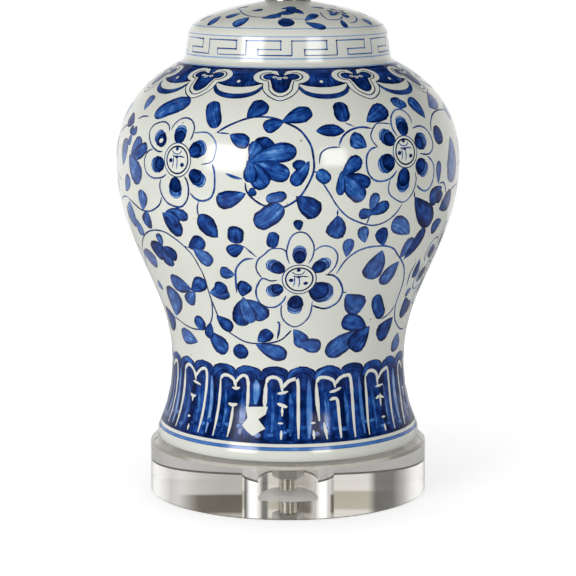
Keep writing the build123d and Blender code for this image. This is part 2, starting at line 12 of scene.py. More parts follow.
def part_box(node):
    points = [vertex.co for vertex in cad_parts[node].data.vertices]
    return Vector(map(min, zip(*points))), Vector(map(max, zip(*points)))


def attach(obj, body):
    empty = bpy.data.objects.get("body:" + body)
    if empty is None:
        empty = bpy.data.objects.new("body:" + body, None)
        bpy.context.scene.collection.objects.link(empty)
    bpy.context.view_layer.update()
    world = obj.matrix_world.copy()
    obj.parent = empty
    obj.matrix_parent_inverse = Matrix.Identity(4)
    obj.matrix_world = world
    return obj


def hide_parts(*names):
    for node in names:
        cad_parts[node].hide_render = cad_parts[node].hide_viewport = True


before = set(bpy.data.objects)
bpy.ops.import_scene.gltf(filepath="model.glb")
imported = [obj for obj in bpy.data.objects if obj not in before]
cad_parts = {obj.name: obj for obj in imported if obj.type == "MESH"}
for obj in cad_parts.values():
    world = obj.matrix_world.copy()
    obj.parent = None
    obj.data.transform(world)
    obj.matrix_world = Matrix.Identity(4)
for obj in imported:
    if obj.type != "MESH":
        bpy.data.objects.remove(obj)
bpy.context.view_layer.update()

# Clear base: a thick disc cut from cast acrylic, turned, with a 45 degree bevel round its upper edge and
# an air bore from below for the nut. Faces polished, bevel scraped, lower edge painted with contact shadow.
MM = 0.001
BASE_RADIUS = 101.6
BASE_THICKNESS = 38.1
BASE_BEVEL = 2.0
BASE_BOTTOM_BREAK = 0.8
BORE_RADIUS = 22.7
BORE_DEPTH = 24.0
WASHER_FILM = 0.1
ROD_HOLE_RADIUS = 7.1
TURNED_STEPS = 192
SAME_POINT = 0.001
SHARP_ANGLE = 30
SLOPE_LOW = 0.2
SLOPE_HIGH = 0.9
ACRYLIC_IOR = 1.49
BUFFING_SIZE = 30.0
TOOL_MARK_AND_SHADE_SIZE = 4.0


def linear(hex_colour):
    channels = [int(hex_colour[start:start + 2], 16) / 255 for start in (1, 3, 5)]
    return [c / 12.92 if c <= 0.04045 else ((c + 0.055) / 1.055) ** 2.4 for c in channels] + [1.0]


def new_material(name, settings):
    material = bpy.data.materials.new(name)
    material.use_nodes = True
    for socket, value in settings.items():
        material.node_tree.nodes["Principled BSDF"].inputs[socket].default_value = value
    return material


# A node of a material, light or room: each setting is a link from another node, an option or a constant
def add_node(owner, kind, settings):
    node = owner.node_tree.nodes.new("ShaderNode" + kind)
    for name, value in settings.items():
        if isinstance(value, bpy.types.NodeSocket):
            owner.node_tree.links.new(value, node.inputs[name])
        elif isinstance(name, str) and hasattr(node, name):
            setattr(node, name, value)
        else:
            node.inputs[name].default_value = value
    return node


def feed(owner, source, socket, shader="Principled BSDF"):
    owner.node_tree.links.new(source, owner.node_tree.nodes[shader].inputs[socket])


def where(owner, output="Object"):
    return add_node(owner, "TexCoord", {}).outputs[output]


# Noise with spots of a real size in mm
def grain(material, size, detail=2.0):
    settings = {"Scale": 1 / (size * MM), "Detail": detail, "Vector": where(material)}
    return add_node(material, "TexNoise", settings).outputs["Fac"]


def remap(owner, source, low, high, start=0.0, end=1.0, curve="LINEAR"):
    limits = {"From Min": start, "From Max": end, "To Min": low, "To Max": high}
    settings = {"interpolation_type": curve, "Value": source, **limits}
    return add_node(owner, "MapRange", settings).outputs["Result"]


# Colours or plain levels along a source that runs from 0 to 1
def ramp(owner, source, stops):
    node = add_node(owner, "ValToRGB", {"Fac": source})
    elements = node.color_ramp.elements
    elements.remove(elements[1])
    for index, (place, shade) in enumerate(stops):
        element = elements.new(place) if index else elements[0]
        element.position = place
        element.color = linear(shade) if isinstance(shade, str) else [shade, shade, shade, 1.0]
    return node.outputs["Color"]


def roughen(material, source, *limits):
    feed(material, remap(material, source, *limits), "Roughness")


def tint(material, source, dark, light):
    feed(material, ramp(material, source, [(0.0, dark), (1.0, light)]), "Base Color")


def new_piece(name, mesh_data, materials, body):
    piece = bpy.data.objects.new(name, mesh_data)
    bpy.context.scene.collection.objects.link(piece)
    for material in materials:
        piece.data.materials.append(material)
    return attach(piece, body)


def mesh_from(form, name):
    data = bpy.data.meshes.new(name)
    form.to_mesh(data)
    form.free()
    return data


def turned_form(points, steps):
    form = bmesh.new()
    corners = [form.verts.new((radius * MM, 0, height * MM)) for radius, height in points]
    edges = [form.edges.new(pair) for pair in zip(corners, corners[1:] + corners[:1])]
    bmesh.ops.spin(
        form, geom=corners + edges, cent=(0, 0, 0), axis=(0, 0, 1), angle=math.tau, steps=steps,
        use_merge=True
    )
    bmesh.ops.remove_doubles(form, verts=form.verts, dist=SAME_POINT * MM)
    bmesh.ops.recalc_face_normals(form, faces=form.faces)
    return form


def smooth_mesh(form, name):
    data = mesh_from(form, name)
    data.shade_smooth()
    data.set_sharp_from_angle(angle=math.radians(SHARP_ANGLE))
    return data


base_form = turned_form([
    (ROD_HOLE_RADIUS, BASE_THICKNESS),
    (ROD_HOLE_RADIUS, BORE_DEPTH + WASHER_FILM),
    (BORE_RADIUS, BORE_DEPTH + WASHER_FILM),
    (BORE_RADIUS, 0),
    (BASE_RADIUS - BASE_BOTTOM_BREAK, 0),
    (BASE_RADIUS, BASE_BOTTOM_BREAK),
    (BASE_RADIUS, BASE_THICKNESS - BASE_BEVEL),
    (BASE_RADIUS - BASE_BEVEL, BASE_THICKNESS),
], TURNED_STEPS)
# Faces sloping up take the scraped bevel's material; faces sloping down take the grey of painted contact
# shadow
for face in base_form.faces:
    if SLOPE_LOW < face.normal.z < SLOPE_HIGH:
        face.material_index = 1
    elif SLOPE_LOW < -face.normal.z < SLOPE_HIGH:
        face.material_index = 2

# Cast acrylic: water clear with a trace of warm grey in the thickness, and a polish with faint buffing haze
acrylic = new_material("polished cast acrylic", {
    "Base Color": linear("#f4f2ee"), "IOR": ACRYLIC_IOR, "Transmission Weight": 1.0,
})
roughen(acrylic, grain(acrylic, BUFFING_SIZE, 3.0), 0.0, 0.02, 0.45, 0.8)

# The bevel: cut and only scraped smooth, so it is milky, with fine lines round it
bevel_acrylic = new_material("scraped acrylic edge", {
    "Base Color": linear("#dcd6ca"), "IOR": ACRYLIC_IOR, "Transmission Weight": 0.5,
})
roughen(bevel_acrylic, grain(bevel_acrylic, TOOL_MARK_AND_SHADE_SIZE), 0.04, 0.2)

# The break at the bottom: dull, painted dark grey as the contact shadow, the thin line on which the disc
# stands
painted_contact_shadow_edge = new_material("bottom edge with painted contact shadow", {
    "Roughness": 0.5, "IOR": ACRYLIC_IOR, "Transmission Weight": 0.2,
})
tint(painted_contact_shadow_edge, grain(painted_contact_shadow_edge, TOOL_MARK_AND_SHADE_SIZE), "#5c5850", "#827c72")
base_mesh = smooth_mesh(base_form, "clear_base")
clear_base = new_piece("clear_base", base_mesh, [acrylic, bevel_acrylic, painted_contact_shadow_edge], "lamp")
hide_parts("acrylic_base")
clear_base.visible_shadow = False

# Light turns back many times inside the disc before it leaves
bpy.context.scene.cycles.max_bounces = 24
bpy.context.scene.cycles.glossy_bounces = 16
bpy.context.scene.cycles.transmission_bounces = 16

# Hardware in the bore: a polished nickel washer, a split lock washer and a hex nut of zinc-plated steel.
# They pull the base and the jar against each other through the lamp pipe.
WEAR_SIZE = 6.0
PLATE_GRAIN = 0.8


def dress(material, *nodes):
    for node in nodes:
        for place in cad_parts[node].material_slots:
            place.material = material


def cells(material, size):
    return add_node(material, "TexVoronoi", {"Scale": 1 / (size * MM), "Vector": where(material)}).outputs


def emboss(material, source, strength, depth):
    settings = {"Strength": strength, "Distance": depth * MM, "Height": source}
    feed(material, add_node(material, "Bump", settings).outputs["Normal"], "Normal")


# Polished nickel: warm bright plate, a few buffing marks that only just break the reflection
nickel = new_material("polished nickel plate", {"Base Color": linear("#d8d5cf"), "Metallic": 1.0})
roughen(nickel, grain(nickel, WEAR_SIZE, 4.0), 0.05, 0.14)

# Zinc-plated steel: blue-grey, with the fine spangle of barrel plating
zinc = new_material("barrel zinc plate", {"Metallic": 1.0, "Roughness": 0.32})
spangle = cells(zinc, PLATE_GRAIN)
tint(zinc, spangle["Color"], "#9a9a98", "#bab8b2")
emboss(zinc, spangle["Distance"], 0.15, 0.05)
dress(nickel, "base_washer")
dress(zinc, "base_lock_washer", "base_nut")

# Lamp pipe: nickel-plated steel tube from the nut up to the neck's cap, with a cut thread at its lower end.
# The thread is the one that shows through the clear base.
ROD_RADIUS = 6.7
ROD_BORE_RADIUS = 4.7
ROD_END_STEP = 0.2
THREAD_PITCH = 1.41
THREAD_DEPTH = 0.75
THREAD_CREST = (0.42, 0.58)
THREAD_STEPS = 40
THREAD_LENGTH = 45.0
THREAD_JOIN = 0.005
rod_low, rod_high = (corner.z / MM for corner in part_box("threaded_rod"))
root_radius = ROD_RADIUS - THREAD_DEPTH
thread_end = rod_low + THREAD_LENGTH
crest = [(ROD_RADIUS, THREAD_PITCH * part) for part in THREAD_CREST]
tooth = [(root_radius, 0), *crest, (root_radius, THREAD_PITCH)]
rod_form = bmesh.new()
tooth_verts = [rod_form.verts.new((radius * MM, 0, (rod_low + height) * MM)) for radius, height in tooth]
tooth_edges = [rod_form.edges.new(pair) for pair in zip(tooth_verts, tooth_verts[1:])]
thread_turns = int((THREAD_LENGTH - THREAD_PITCH) / THREAD_PITCH)
bmesh.ops.spin(
    rod_form, geom=tooth_verts + tooth_edges, cent=(0, 0, 0), axis=(0, 0, 1), angle=math.tau * thread_turns,
    dvec=(0, 0, THREAD_PITCH * MM / THREAD_STEPS), steps=THREAD_STEPS * thread_turns
)
bmesh.ops.remove_doubles(rod_form, verts=rod_form.verts, dist=THREAD_JOIN * MM)
core_low = rod_low + ROD_END_STEP
rod_core = turned_form([
    (ROD_BORE_RADIUS, core_low), (root_radius, core_low), (root_radius, thread_end), (ROD_RADIUS, thread_end),
    (ROD_RADIUS, rod_high), (ROD_BORE_RADIUS, rod_high),
], THREAD_STEPS)
core_mesh = mesh_from(rod_core, "lamp_pipe_core")
rod_form.from_mesh(core_mesh)
bpy.data.meshes.remove(core_mesh)
bmesh.ops.recalc_face_normals(rod_form, faces=rod_form.faces)
lamp_pipe = new_piece("lamp_pipe", smooth_mesh(rod_form, "lamp_pipe"), [nickel], "lamp")
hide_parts("threaded_rod")

# Clear vinyl rings: a soft gasket under the jar's foot, one under the neck, and the bushing in the cord hole.
# They keep metal and glaze apart, and are cut or moulded from clear soft vinyl.
VINYL_CLOUD = 8.0
GASKET_FILM = 0.15
GASKET_INNER = 75.0
vinyl = new_material("clear soft vinyl", {
    "Base Color": linear("#efeee8"), "IOR": 1.53, "Transmission Weight": 0.7,
})
roughen(vinyl, grain(vinyl, VINYL_CLOUD), 0.25, 0.45)
gasket_low, gasket_high = (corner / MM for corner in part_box("foot_gasket"))
gasket_form = turned_form([
    (GASKET_INNER, gasket_low.z + GASKET_FILM), (gasket_high.x, gasket_low.z + GASKET_FILM),
    (gasket_high.x, gasket_high.z), (GASKET_INNER, gasket_high.z),
], TURNED_STEPS)
gasket = new_piece("gasket", smooth_mesh(gasket_form, "gasket"), [vinyl], "lamp")
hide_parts("foot_gasket")
dress(vinyl, "neck_gasket", "cord_bushing")

# Jar: one slip-cast stoneware body, glazed off-white over cobalt brushwork.
# The outline runs from the foot's contact ring up to the land under the neck, in mm from the jar's bottom.
JAR_WALL = 7.0
jar_low, jar_high = (corner.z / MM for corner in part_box("ceramic_jar"))
# Each curve takes four points, and its last is the next one's first
JAR_OUTLINE = [
    (91.0, 0),
    (94.73, 0), (96.6, 1.5), (96.6, 4.5),
    (96.6, 12.5), (85.3, 24), (85.3, 58),
    (85.3, 116), (124.6, 143), (124.6, 205),
    (124.6, 240), (106.6, 261.4), (79.9, 275.6),
    (76.17, 277.59), (74.3, 278.92), (74.3, 279.6),
    (73.53, 285.2), (72.77, 290.7), (72.0, 296.3),
    (72.0, 308.5), (41.7, 315.8), (17.0, 319.8),
]
OUTLINE_STEPS = 48
knots = [Vector((*point, 0)) for point in JAR_OUTLINE]
outline_points = []
for first in range(0, len(knots) - 1, 3):
    outline_points += interpolate_bezier(*knots[first:first + 4], OUTLINE_STEPS)[:-1]
outline_points.append(knots[-1])
wall_radius = np.array([point.x for point in outline_points])
wall_height = np.array([point.y for point in outline_points])
wall_arc = np.concatenate([[0], np.cumsum(np.hypot(np.diff(wall_radius), np.diff(wall_height)))])
ARC_LENGTH = wall_arc[-1]


def radius_at(arc):
    return np.interp(arc, wall_arc, wall_radius)


def mm_per_degree(arc):
    return math.radians(1) * radius_at(arc)


# A brush mark lies between two edges on the wall, each point as degrees from the front and mm up the wall.
# Later marks cover earlier ones. Depth of colour runs from 0, a thin wash, to 1, nearly black.
# BARE is plain glaze.
BARE = -1.0
NO_LENGTH = 1e-9
LINE_END = 0.4
BOW = 0.08
TOUCH_DEPTH = (0.46, 0.76)
THINNEST = 0.3
BRUSH_SEED = 7
HALF_TURN = np.arange(-90, 91, 6)
marks = []
hand = random.Random(BRUSH_SEED)


def panel(left, right, depth):
    marks.append((np.array(left, float), np.array(right, float), depth, hand.random()))


def upright_panel(middle, outline, depth):
    left = [(middle - half, height) for height, half in outline]
    right = [(middle + half, height) for height, half in outline]
    panel(left, right, depth)


def brush(points, widths, depth):
    points = np.array(points, float)
    scale = mm_per_degree(points[:, 1])
    ahead = np.gradient(points, axis=0)
    ahead[:, 0] *= scale
    ahead /= np.maximum(np.hypot(ahead[:, 0], ahead[:, 1]), NO_LENGTH)[:, None]
    side = np.column_stack([-ahead[:, 1] / scale, ahead[:, 0]]) * np.array(widths)[:, None] / 2
    panel(points + side, points - side, depth)


def smooth_line(points, steps=4):
    knots = [np.array(point, float) for point in points]
    knots = [2 * knots[0] - knots[1]] + knots + [2 * knots[-1] - knots[-2]]
    line = []
    for before, start, end, after in zip(knots, knots[1:], knots[2:], knots[3:]):
        for step in range(steps):
            t = step / steps
            bend = (end - before) * t + (2 * before - 5 * start + 4 * end - after) * t ** 2
            bend += (3 * start - before - 3 * end + after) * t ** 3
            line.append(start + bend / 2)
    return line + [knots[-2]]


def line_of(points, width, depth):
    line = smooth_line(points)
    ends = [min(1.0, LINE_END + (1 - LINE_END) * min(i, len(line) - 1 - i) / 2) for i in range(len(line))]
    brush(line, [width * end * hand.uniform(0.88, 1.15) for end in ends], depth)


# Outline of a single touch of the brush, as its share of full width along its length
def touch_width(t, shape):
    if shape == "block":
        return (1 - abs(2 * t - 1) ** 3.5) ** 0.5
    if shape == "round":
        return (1 - (2 * t - 1) ** 2) ** 0.5
    rise, fall = {"leaf": (0.85, 0.42), "point": (0.6, 0.8), "lens": (0.8, 0.8)}[shape]
    peak = rise / (rise + fall)
    return t ** rise * (1 - t) ** fall / (peak ** rise * (1 - peak) ** fall)


def touch(base, tip, width, shape="leaf", bow=None, depth=None, steps=17, shake=0.05):
    bow = hand.uniform(-BOW, BOW) if bow is None else bow
    depth = hand.uniform(*TOUCH_DEPTH) if depth is None else depth
    scale = mm_per_degree((base[1] + tip[1]) / 2)
    run = np.array([(tip[0] - base[0]) * scale, tip[1] - base[1]])
    side = np.array([-run[1], run[0]])
    points = []
    widths = []
    for i in range(steps):
        t = 0.5 - 0.5 * math.cos(math.pi * i / (steps - 1))
        offset = run * t + side * bow * 4 * t * (1 - t)
        points.append((base[0] + offset[0] / scale, base[1] + offset[1]))
        rough = shake * (0.3 + 1.5 * t ** 2)
        widths.append(max(THINNEST, width * touch_width(t, shape) * hand.uniform(1 - rough, 1 + rough)))
    brush(points, widths, depth)


def spot(centre, half_length, half_width, depth, lean=0.0, steps=13, shake=0.0):
    scale = mm_per_degree(centre[1])
    reach = (half_length * math.cos(lean) / scale, half_length * math.sin(lean))
    base = (centre[0] - reach[0], centre[1] - reach[1])
    tip = (centre[0] + reach[0], centre[1] + reach[1])
    touch(base, tip, 2 * half_width, "round", 0.0, depth, steps, shake)


def ring_band(low, high, depth):
    panel([(angle, high) for angle in HALF_TURN], [(angle, low) for angle in HALF_TURN], depth)


# Lower border: upright strokes of deep blue side by side, each with a round top, two to a lappet.
# The lappets are lines left white in it, seven to a half turn, with small marks inside them.
LAPPETS = 7
SCALLOP_STEP = 90 / LAPPETS
SCALLOP_FIRST = -83.4
BORDER_LOW = 18.3
SCALLOP_DIP = 69.3
SCALLOP_RISE = 4.2
SCALLOP_TOP = [(0.4, 0.92), (0.7, 0.71), (0.9, 0.44), (1.0, 0.1)]
SCALLOP_OVERLAP = 0.05
SCALLOP_DEPTH = (0.72, 0.88)
ARCH = [(-6.2, 63.5), (-5.2, 67.5), (-2.8, 70), (0, 71), (2.8, 70), (5.2, 67.5), (6.2, 63.5)]
ARCH_WIDTH = 5.0
ARCH_DEPTH = (0.6, 0.76)
BORDER_STREAKS = [-55.5, -47.5, -31, -22, -7.5, 1, 18, 28, 44, 53, 73, 79, -80, -74]
BORDER_LINES = [(BORDER_LOW, 20.6, 0.92), (13.4, 16.0, 0.34)]
for index in range(2 * LAPPETS):
    middle = SCALLOP_FIRST + SCALLOP_STEP * index
    rise = SCALLOP_RISE * hand.uniform(0.8, 1.15)
    half = SCALLOP_STEP / 2
    outline = [(height, half + SCALLOP_OVERLAP) for height in (BORDER_LOW, 30, 44, 58, SCALLOP_DIP)]
    outline += [(SCALLOP_DIP + rise * up, half * across) for up, across in SCALLOP_TOP]
    upright_panel(middle, outline, hand.uniform(*SCALLOP_DEPTH))
for index in range(2 * LAPPETS):
    middle = SCALLOP_FIRST + SCALLOP_STEP * index
    line_of([(middle + angle, height) for angle, height in ARCH], ARCH_WIDTH, hand.uniform(*ARCH_DEPTH))
# Pale washes between the lappets and darker streaks inside them, with small blots along the foot
WASHES = [
    [(-65, 22), (-65.5, 45), (-65, 63)], [(-39.5, 22), (-39, 45), (-39.5, 63)],
    [(-15.5, 46), (-15, 55), (-15.2, 63)], [(9.2, 22), (10, 45), (10, 63)],
    [(36.4, 22), (36.8, 45), (36.2, 63)], [(62.5, 22), (63, 45), (62.5, 63)],
    [(-85, 22), (-85.5, 45), (-85, 63)], [(87, 22), (87.5, 45), (87, 63)],
]
for points in WASHES:
    line_of(points, hand.uniform(3.5, 5.5), hand.uniform(0.22, 0.36))
for angle in BORDER_STREAKS:
    line_of([(angle, 24), (angle + 0.6, 40), (angle, 54)], hand.uniform(3, 5), hand.uniform(0.45, 0.58))
for angle in range(-88, 90, 5):
    spot((angle + hand.uniform(-1, 1), hand.uniform(24, 31)), 2.6, 2.0, hand.uniform(0.4, 0.6), 0.0, 9, 0.1)
# White lines of the lappets from left to right: width in mm, then the line
LAPPET_LINES = [
    (2.4, [(-86, 21), (-86.4, 45), (-85.6, 62), (-81, 66), (-77.5, 62)]),
    (2.4, [(-76.5, 62), (-73, 66), (-69.4, 62), (-70, 21)]), (2.8, [(-61, 20.5), (-60.4, 45), (-60, 63)]),
    (2.2, [(-60.2, 63), (-57.8, 67), (-54.5, 67), (-51.5, 63), (-50.5, 57.5)]),
    (2.2, [(-50.8, 60), (-48.5, 64), (-45.5, 67), (-42.6, 65), (-43.2, 45), (-44, 21)]),
    (1.8, [(-52.5, 56.6), (-49.5, 55.8), (-46.8, 55)]), (2.0, [(-54, 47), (-52, 45.6), (-49.8, 46.6)]),
    (1.9, [(-52, 47), (-52, 42)]), (1.6, [(-53.4, 31), (-51.6, 31)]), (2.0, [(-51.2, 25.5), (-51, 21)]),
    (2.0, [(-35.2, 20.5), (-34.4, 45), (-34, 62)]),
    (2.2, [(-34, 62), (-32.4, 64.6), (-29.4, 64.8), (-26.6, 62), (-25.4, 56.5)]),
    (2.2, [(-25.8, 60), (-24, 63.6), (-21.4, 66), (-19.4, 63), (-19.2, 52), (-19.4, 41)]),
    (1.8, [(-27.5, 56.6), (-25.4, 56), (-23.4, 57)]), (2.2, [(-29.2, 45), (-27, 44.2), (-24.4, 45)]),
    (1.9, [(-26.6, 44), (-27, 32), (-27.7, 21)]), (2.8, [(-11, 43), (-10.8, 52), (-10.4, 61)]),
    (2.4, [(-10.4, 61), (-9.2, 64.6), (-6.4, 65.6), (-3.6, 63), (-2.6, 55)]),
    (2.4, [(-2.4, 58), (-0.4, 62), (2.2, 64), (4.6, 62.6), (4.8, 45), (4.6, 22)]),
    (1.8, [(-5, 54), (-2.5, 54.4), (0, 55.6)]), (2.4, [(-5, 47), (-2.6, 45.6), (-0.4, 44.4)]),
    (1.9, [(-2.7, 45), (-2.7, 38)]), (1.6, [(-4.6, 33), (-2.2, 33)]), (2.0, [(-3, 28), (-3, 21.5)]),
    (1.6, [(10.4, 33), (12.6, 33)]), (1.9, [(11.5, 28), (11.5, 21.5)]),
    (2.7, [(14.5, 34), (13.8, 50), (13.5, 61)]), (2.2, [(17.4, 21), (16.6, 33)]),
    (2.2, [(13.5, 61), (15, 64.6), (18.6, 64.6), (22, 62), (23, 57)]),
    (2.3, [(23, 59), (25, 63), (28.4, 65), (31.2, 63), (32, 45), (31, 20.5)]),
    (1.9, [(20, 54), (23, 54.8), (26, 56.6)]),
    (2.2, [(20, 48.4), (22.4, 49.4), (24, 47), (24.2, 34), (24, 21)]),
    (2.1, [(38.7, 20.5), (40.4, 45), (40, 62)]),
    (2.2, [(40, 62), (42, 65.6), (45.4, 65.4), (48, 62), (48.5, 54)]),
    (2.3, [(48.6, 58), (51, 62.4), (54, 64.6), (57, 63.6), (58, 45), (56, 20.5)]),
    (1.8, [(46.8, 53.4), (52.6, 54)]), (2.0, [(46.5, 45), (49.5, 46), (52.5, 44.5)]),
    (2.0, [(50, 48), (49.5, 39)]), (1.6, [(48.6, 31), (51.2, 31)]), (2.0, [(49.5, 26), (49, 21)]),
    (2.2, [(66, 20.5), (70, 42), (69, 62), (72, 65.6), (75.5, 60)]),
    (2.2, [(75.6, 60), (78.6, 65), (82, 62), (82.6, 42), (81, 20.5)]), (1.8, [(74, 46), (77, 45)]),
    (1.9, [(75.6, 46), (75.4, 39)]),
]
for width, points in LAPPET_LINES:
    line_of(points, width, BARE)
# One white patch where the blue was left off
panel(
    [(-20.2, 43.6), (-19.4, 39), (-18.9, 36), (-21.2, 30.5), (-19, 27), (-16.4, 24)],
    [(-9.4, 44.6), (-10.4, 39), (-13.8, 35.4), (-10.2, 29), (-12.6, 27), (-15.6, 23.6)], BARE
)
for line in BORDER_LINES:
    ring_band(*line)

# Key fret round the collar: one thin meander between two pale lines, fourteen units to the turn
FRET_UNITS = 7
FRET_STEP = 180 / FRET_UNITS
FRET_FIRST = -75.0
FRET_LOW = 317.6
FRET_HIGH = 327.7
FRET_INNER = 321.7
FRET_WIDTH = 0.85
FRET_BACK = 19.6
FRET_DOWN = 7.0
COLLAR_LINES = [(314.9, 315.8, 0.14), (330.2, 330.9, 0.14), (336.6, 337.5, 0.14)]
for line in COLLAR_LINES:
    ring_band(*line)
for index in range(FRET_UNITS):
    start = FRET_FIRST + FRET_STEP * index
    corners = [
        (0, FRET_LOW), (0, FRET_HIGH), (FRET_BACK, FRET_HIGH), (FRET_BACK, FRET_INNER),
        (FRET_DOWN, FRET_INNER), (FRET_DOWN, FRET_LOW), (FRET_STEP, FRET_LOW),
    ]
    for first, second in zip(corners, corners[1:]):
        ends = [(start + first[0], first[1]), (start + second[0], second[1])]
        brush(ends, [FRET_WIDTH * hand.uniform(0.8, 1.25) for end in ends], hand.uniform(0.3, 0.6))
    for angle, height in corners[1:5]:
        spot((start + angle, height), 0.75, 0.65, 0.75, 0.0, 7)

# Cloud collar on the shoulder: dark ground with a ruyi head every 36 degrees, in two white lines round a dark
# heart, and a dark swag between two heads
HEADS = 5
HEAD_STEP = 180 / HEADS
HEAD_FIRST = -75.0
CLOUD_LOW = 292
CLOUD_HIGH = 306.8
CLOUD_LINE = 1.6
# Lines of a ruyi head from outside in: depth, its two lobes as turn, reach across and up, then its foot
# as height and half width
HEAD_LINES = [
    (0.66, 6.7, 9.7, 8.1, [
        (298, 8.6), (290, 8.0), (287, 7.8), (283, 7.4), (279.6, 6.2), (276.4, 4.6), (274, 2.6),
        (272.6, 0.8),
    ]),
    (BARE, 6.7, 9.1, 7.5, [
        (298, 8.3), (290, 7.5), (287, 7.3), (283, 6.9), (279.8, 5.7), (276.9, 4.1), (274.7, 2.2),
        (273.4, 0.6),
    ]),
    (0.7, 5.7, 6.5, 5.3, [
        (297, 6.6), (291, 5.6), (287, 5.2), (283, 4.9), (280.2, 4.0), (278, 2.8), (276.2, 1.0),
    ]),
    (BARE, 5.5, 5.7, 4.6, [
        (297, 6.2), (291, 5.2), (287, 4.7), (283, 4.4), (280.6, 3.5), (278.7, 2.3), (277.1, 0.8),
    ]),
    (0.84, 5.1, 4.9, 3.8, [
        (298.6, 5.6), (293, 4.8), (288, 3.9), (285, 3.6), (282.6, 2.9), (280.8, 1.9), (279.7, 0.6),
    ]),
]
PENDANT = [(297, 14), (291, 12), (288, 9.5), (286.2, 6.5), (285, 2)]
SWAG = [(-10.6, 286), (-8.6, 281), (-5, 277.6), (0, 276.4), (5, 277.6), (8.6, 281), (10.6, 286)]
NOTCH = [(307, 2.4), (304.6, 1.7), (302, 1.0), (299, 1.2), (296, 3.4)]
LOBE_HEIGHT = 296.9
ring_band(CLOUD_LOW, CLOUD_HIGH, 0.8)
ring_band(CLOUD_HIGH, CLOUD_HIGH + CLOUD_LINE, 0.12)
for index in range(HEADS):
    gap = HEAD_FIRST + HEAD_STEP * (index + 0.5)
    upright_panel(gap, PENDANT, 0.78)
    spot((gap - 0.6, 291), 1.2, 1.4, BARE, 0.0, 9)
    sag = smooth_line([(gap + angle, height) for angle, height in SWAG])
    brush(sag, [2.0 + 2.6 * math.sin(math.pi * i / (len(sag) - 1)) for i in range(len(sag))], 0.74)
for index in range(HEADS):
    middle = HEAD_FIRST + HEAD_STEP * index
    for depth, turn, reach, rise, foot in HEAD_LINES:
        upright_panel(middle, foot, depth)
        for side in (-1, 1):
            spot((middle + side * turn, LOBE_HEIGHT), reach, rise, depth, 0.0, 15)
    for side in (-1, 1):
        curl = ((4.6, 302.6), (3.2, 302), (2.3, 300.4))
        line_of([(middle + side * angle, height) for angle, height in curl], 3.2, BARE)
    upright_panel(middle, NOTCH, 0.82)
    for angle, height in ((-3.0, 296.2), (-0.8, 294.6), (1.9, 295.6)):
        spot((middle + angle, height), 1.5, 1.25, BARE, 0.0, 9)
        spot((middle + angle, height), 0.75, 0.6, 0.8, 0.0, 7)
    tie = ((-2.2, 295.6), (-1.2, 295.8), (0.4, 295.6), (1.2, 296.2))
    line_of([(middle + angle, height) for angle, height in tie], 0.5, BARE)

# Paint in a petal from the wash to the dark blot: mm outwards, shares of its length and width, depth, steps
BLOTS = [(3.2, 0.46, 0.5, 0.14, 11), (1.2, 0.5, 0.52, 0.46, 11), (-0.6, 0.44, 0.46, 0.86, 13)]
# Lines in the heart of a blossom: width, depth, then mm across and up from its middle
HEART_LINES = [
    (0.8, 0.5, [(-5.4, 6.6), (-3.2, 4.6), (-0.6, 4.0), (2.0, 4.6), (3.8, 7)]),
    (1.0, 0.66, [(-4.6, 3.0), (-1.0, 2.2), (2.4, 2.6), (6.4, 2.0)]),
    (0.9, 0.55, [(-3.4, 2.4), (-3.2, -1.6), (-4.0, -5.6)]),
    (0.9, 0.55, [(-0.2, 2.0), (0.2, -2.0), (-0.4, -6.4)]),
]


# A blossom: six petals in outline with a dark blot and a pale wash in each, round a ringed heart
# with small marks
def blossom(centre, ring, petals, blots):
    scale = mm_per_degree(centre[1])
    for points in petals:
        line_of(points, hand.uniform(1.0, 1.5), hand.uniform(0.45, 0.75))
    for angle, height, wide, tall in blots:
        away = np.array([(angle - centre[0]) * scale, height - centre[1]])
        away /= np.hypot(*away)
        lean = math.atan2(away[1], away[0])
        for out, long, broad, depth, steps in BLOTS:
            place = (angle + away[0] * out / scale, height + away[1] * out)
            spot(place, tall * long, wide * broad, depth, lean, steps, 0.08)
    for size, depth in ((ring, 0.48), (ring - 0.8, BARE), (ring - 2.2, 0.8), (ring - 3.4, BARE)):
        spot(centre, size, size, depth, 0.0, 17)

    def near(across, up):
        return (centre[0] + across / scale, centre[1] + up)

    for across, up, size in ((-5.6, -0.6, 1.7), (4.6, -3.2, 1.7), (-0.6, 7.6, 1.5)):
        spot(near(across, up), size, size * 0.85, 0.86, 0.3, 9, 0.1)
    for width, depth, points in HEART_LINES:
        line_of([near(across, up) for across, up in points], width, depth)
    spot(near(-0.4, 2.0), 1.4, 1.1, 0.8, 0.0, 9, 0.1)


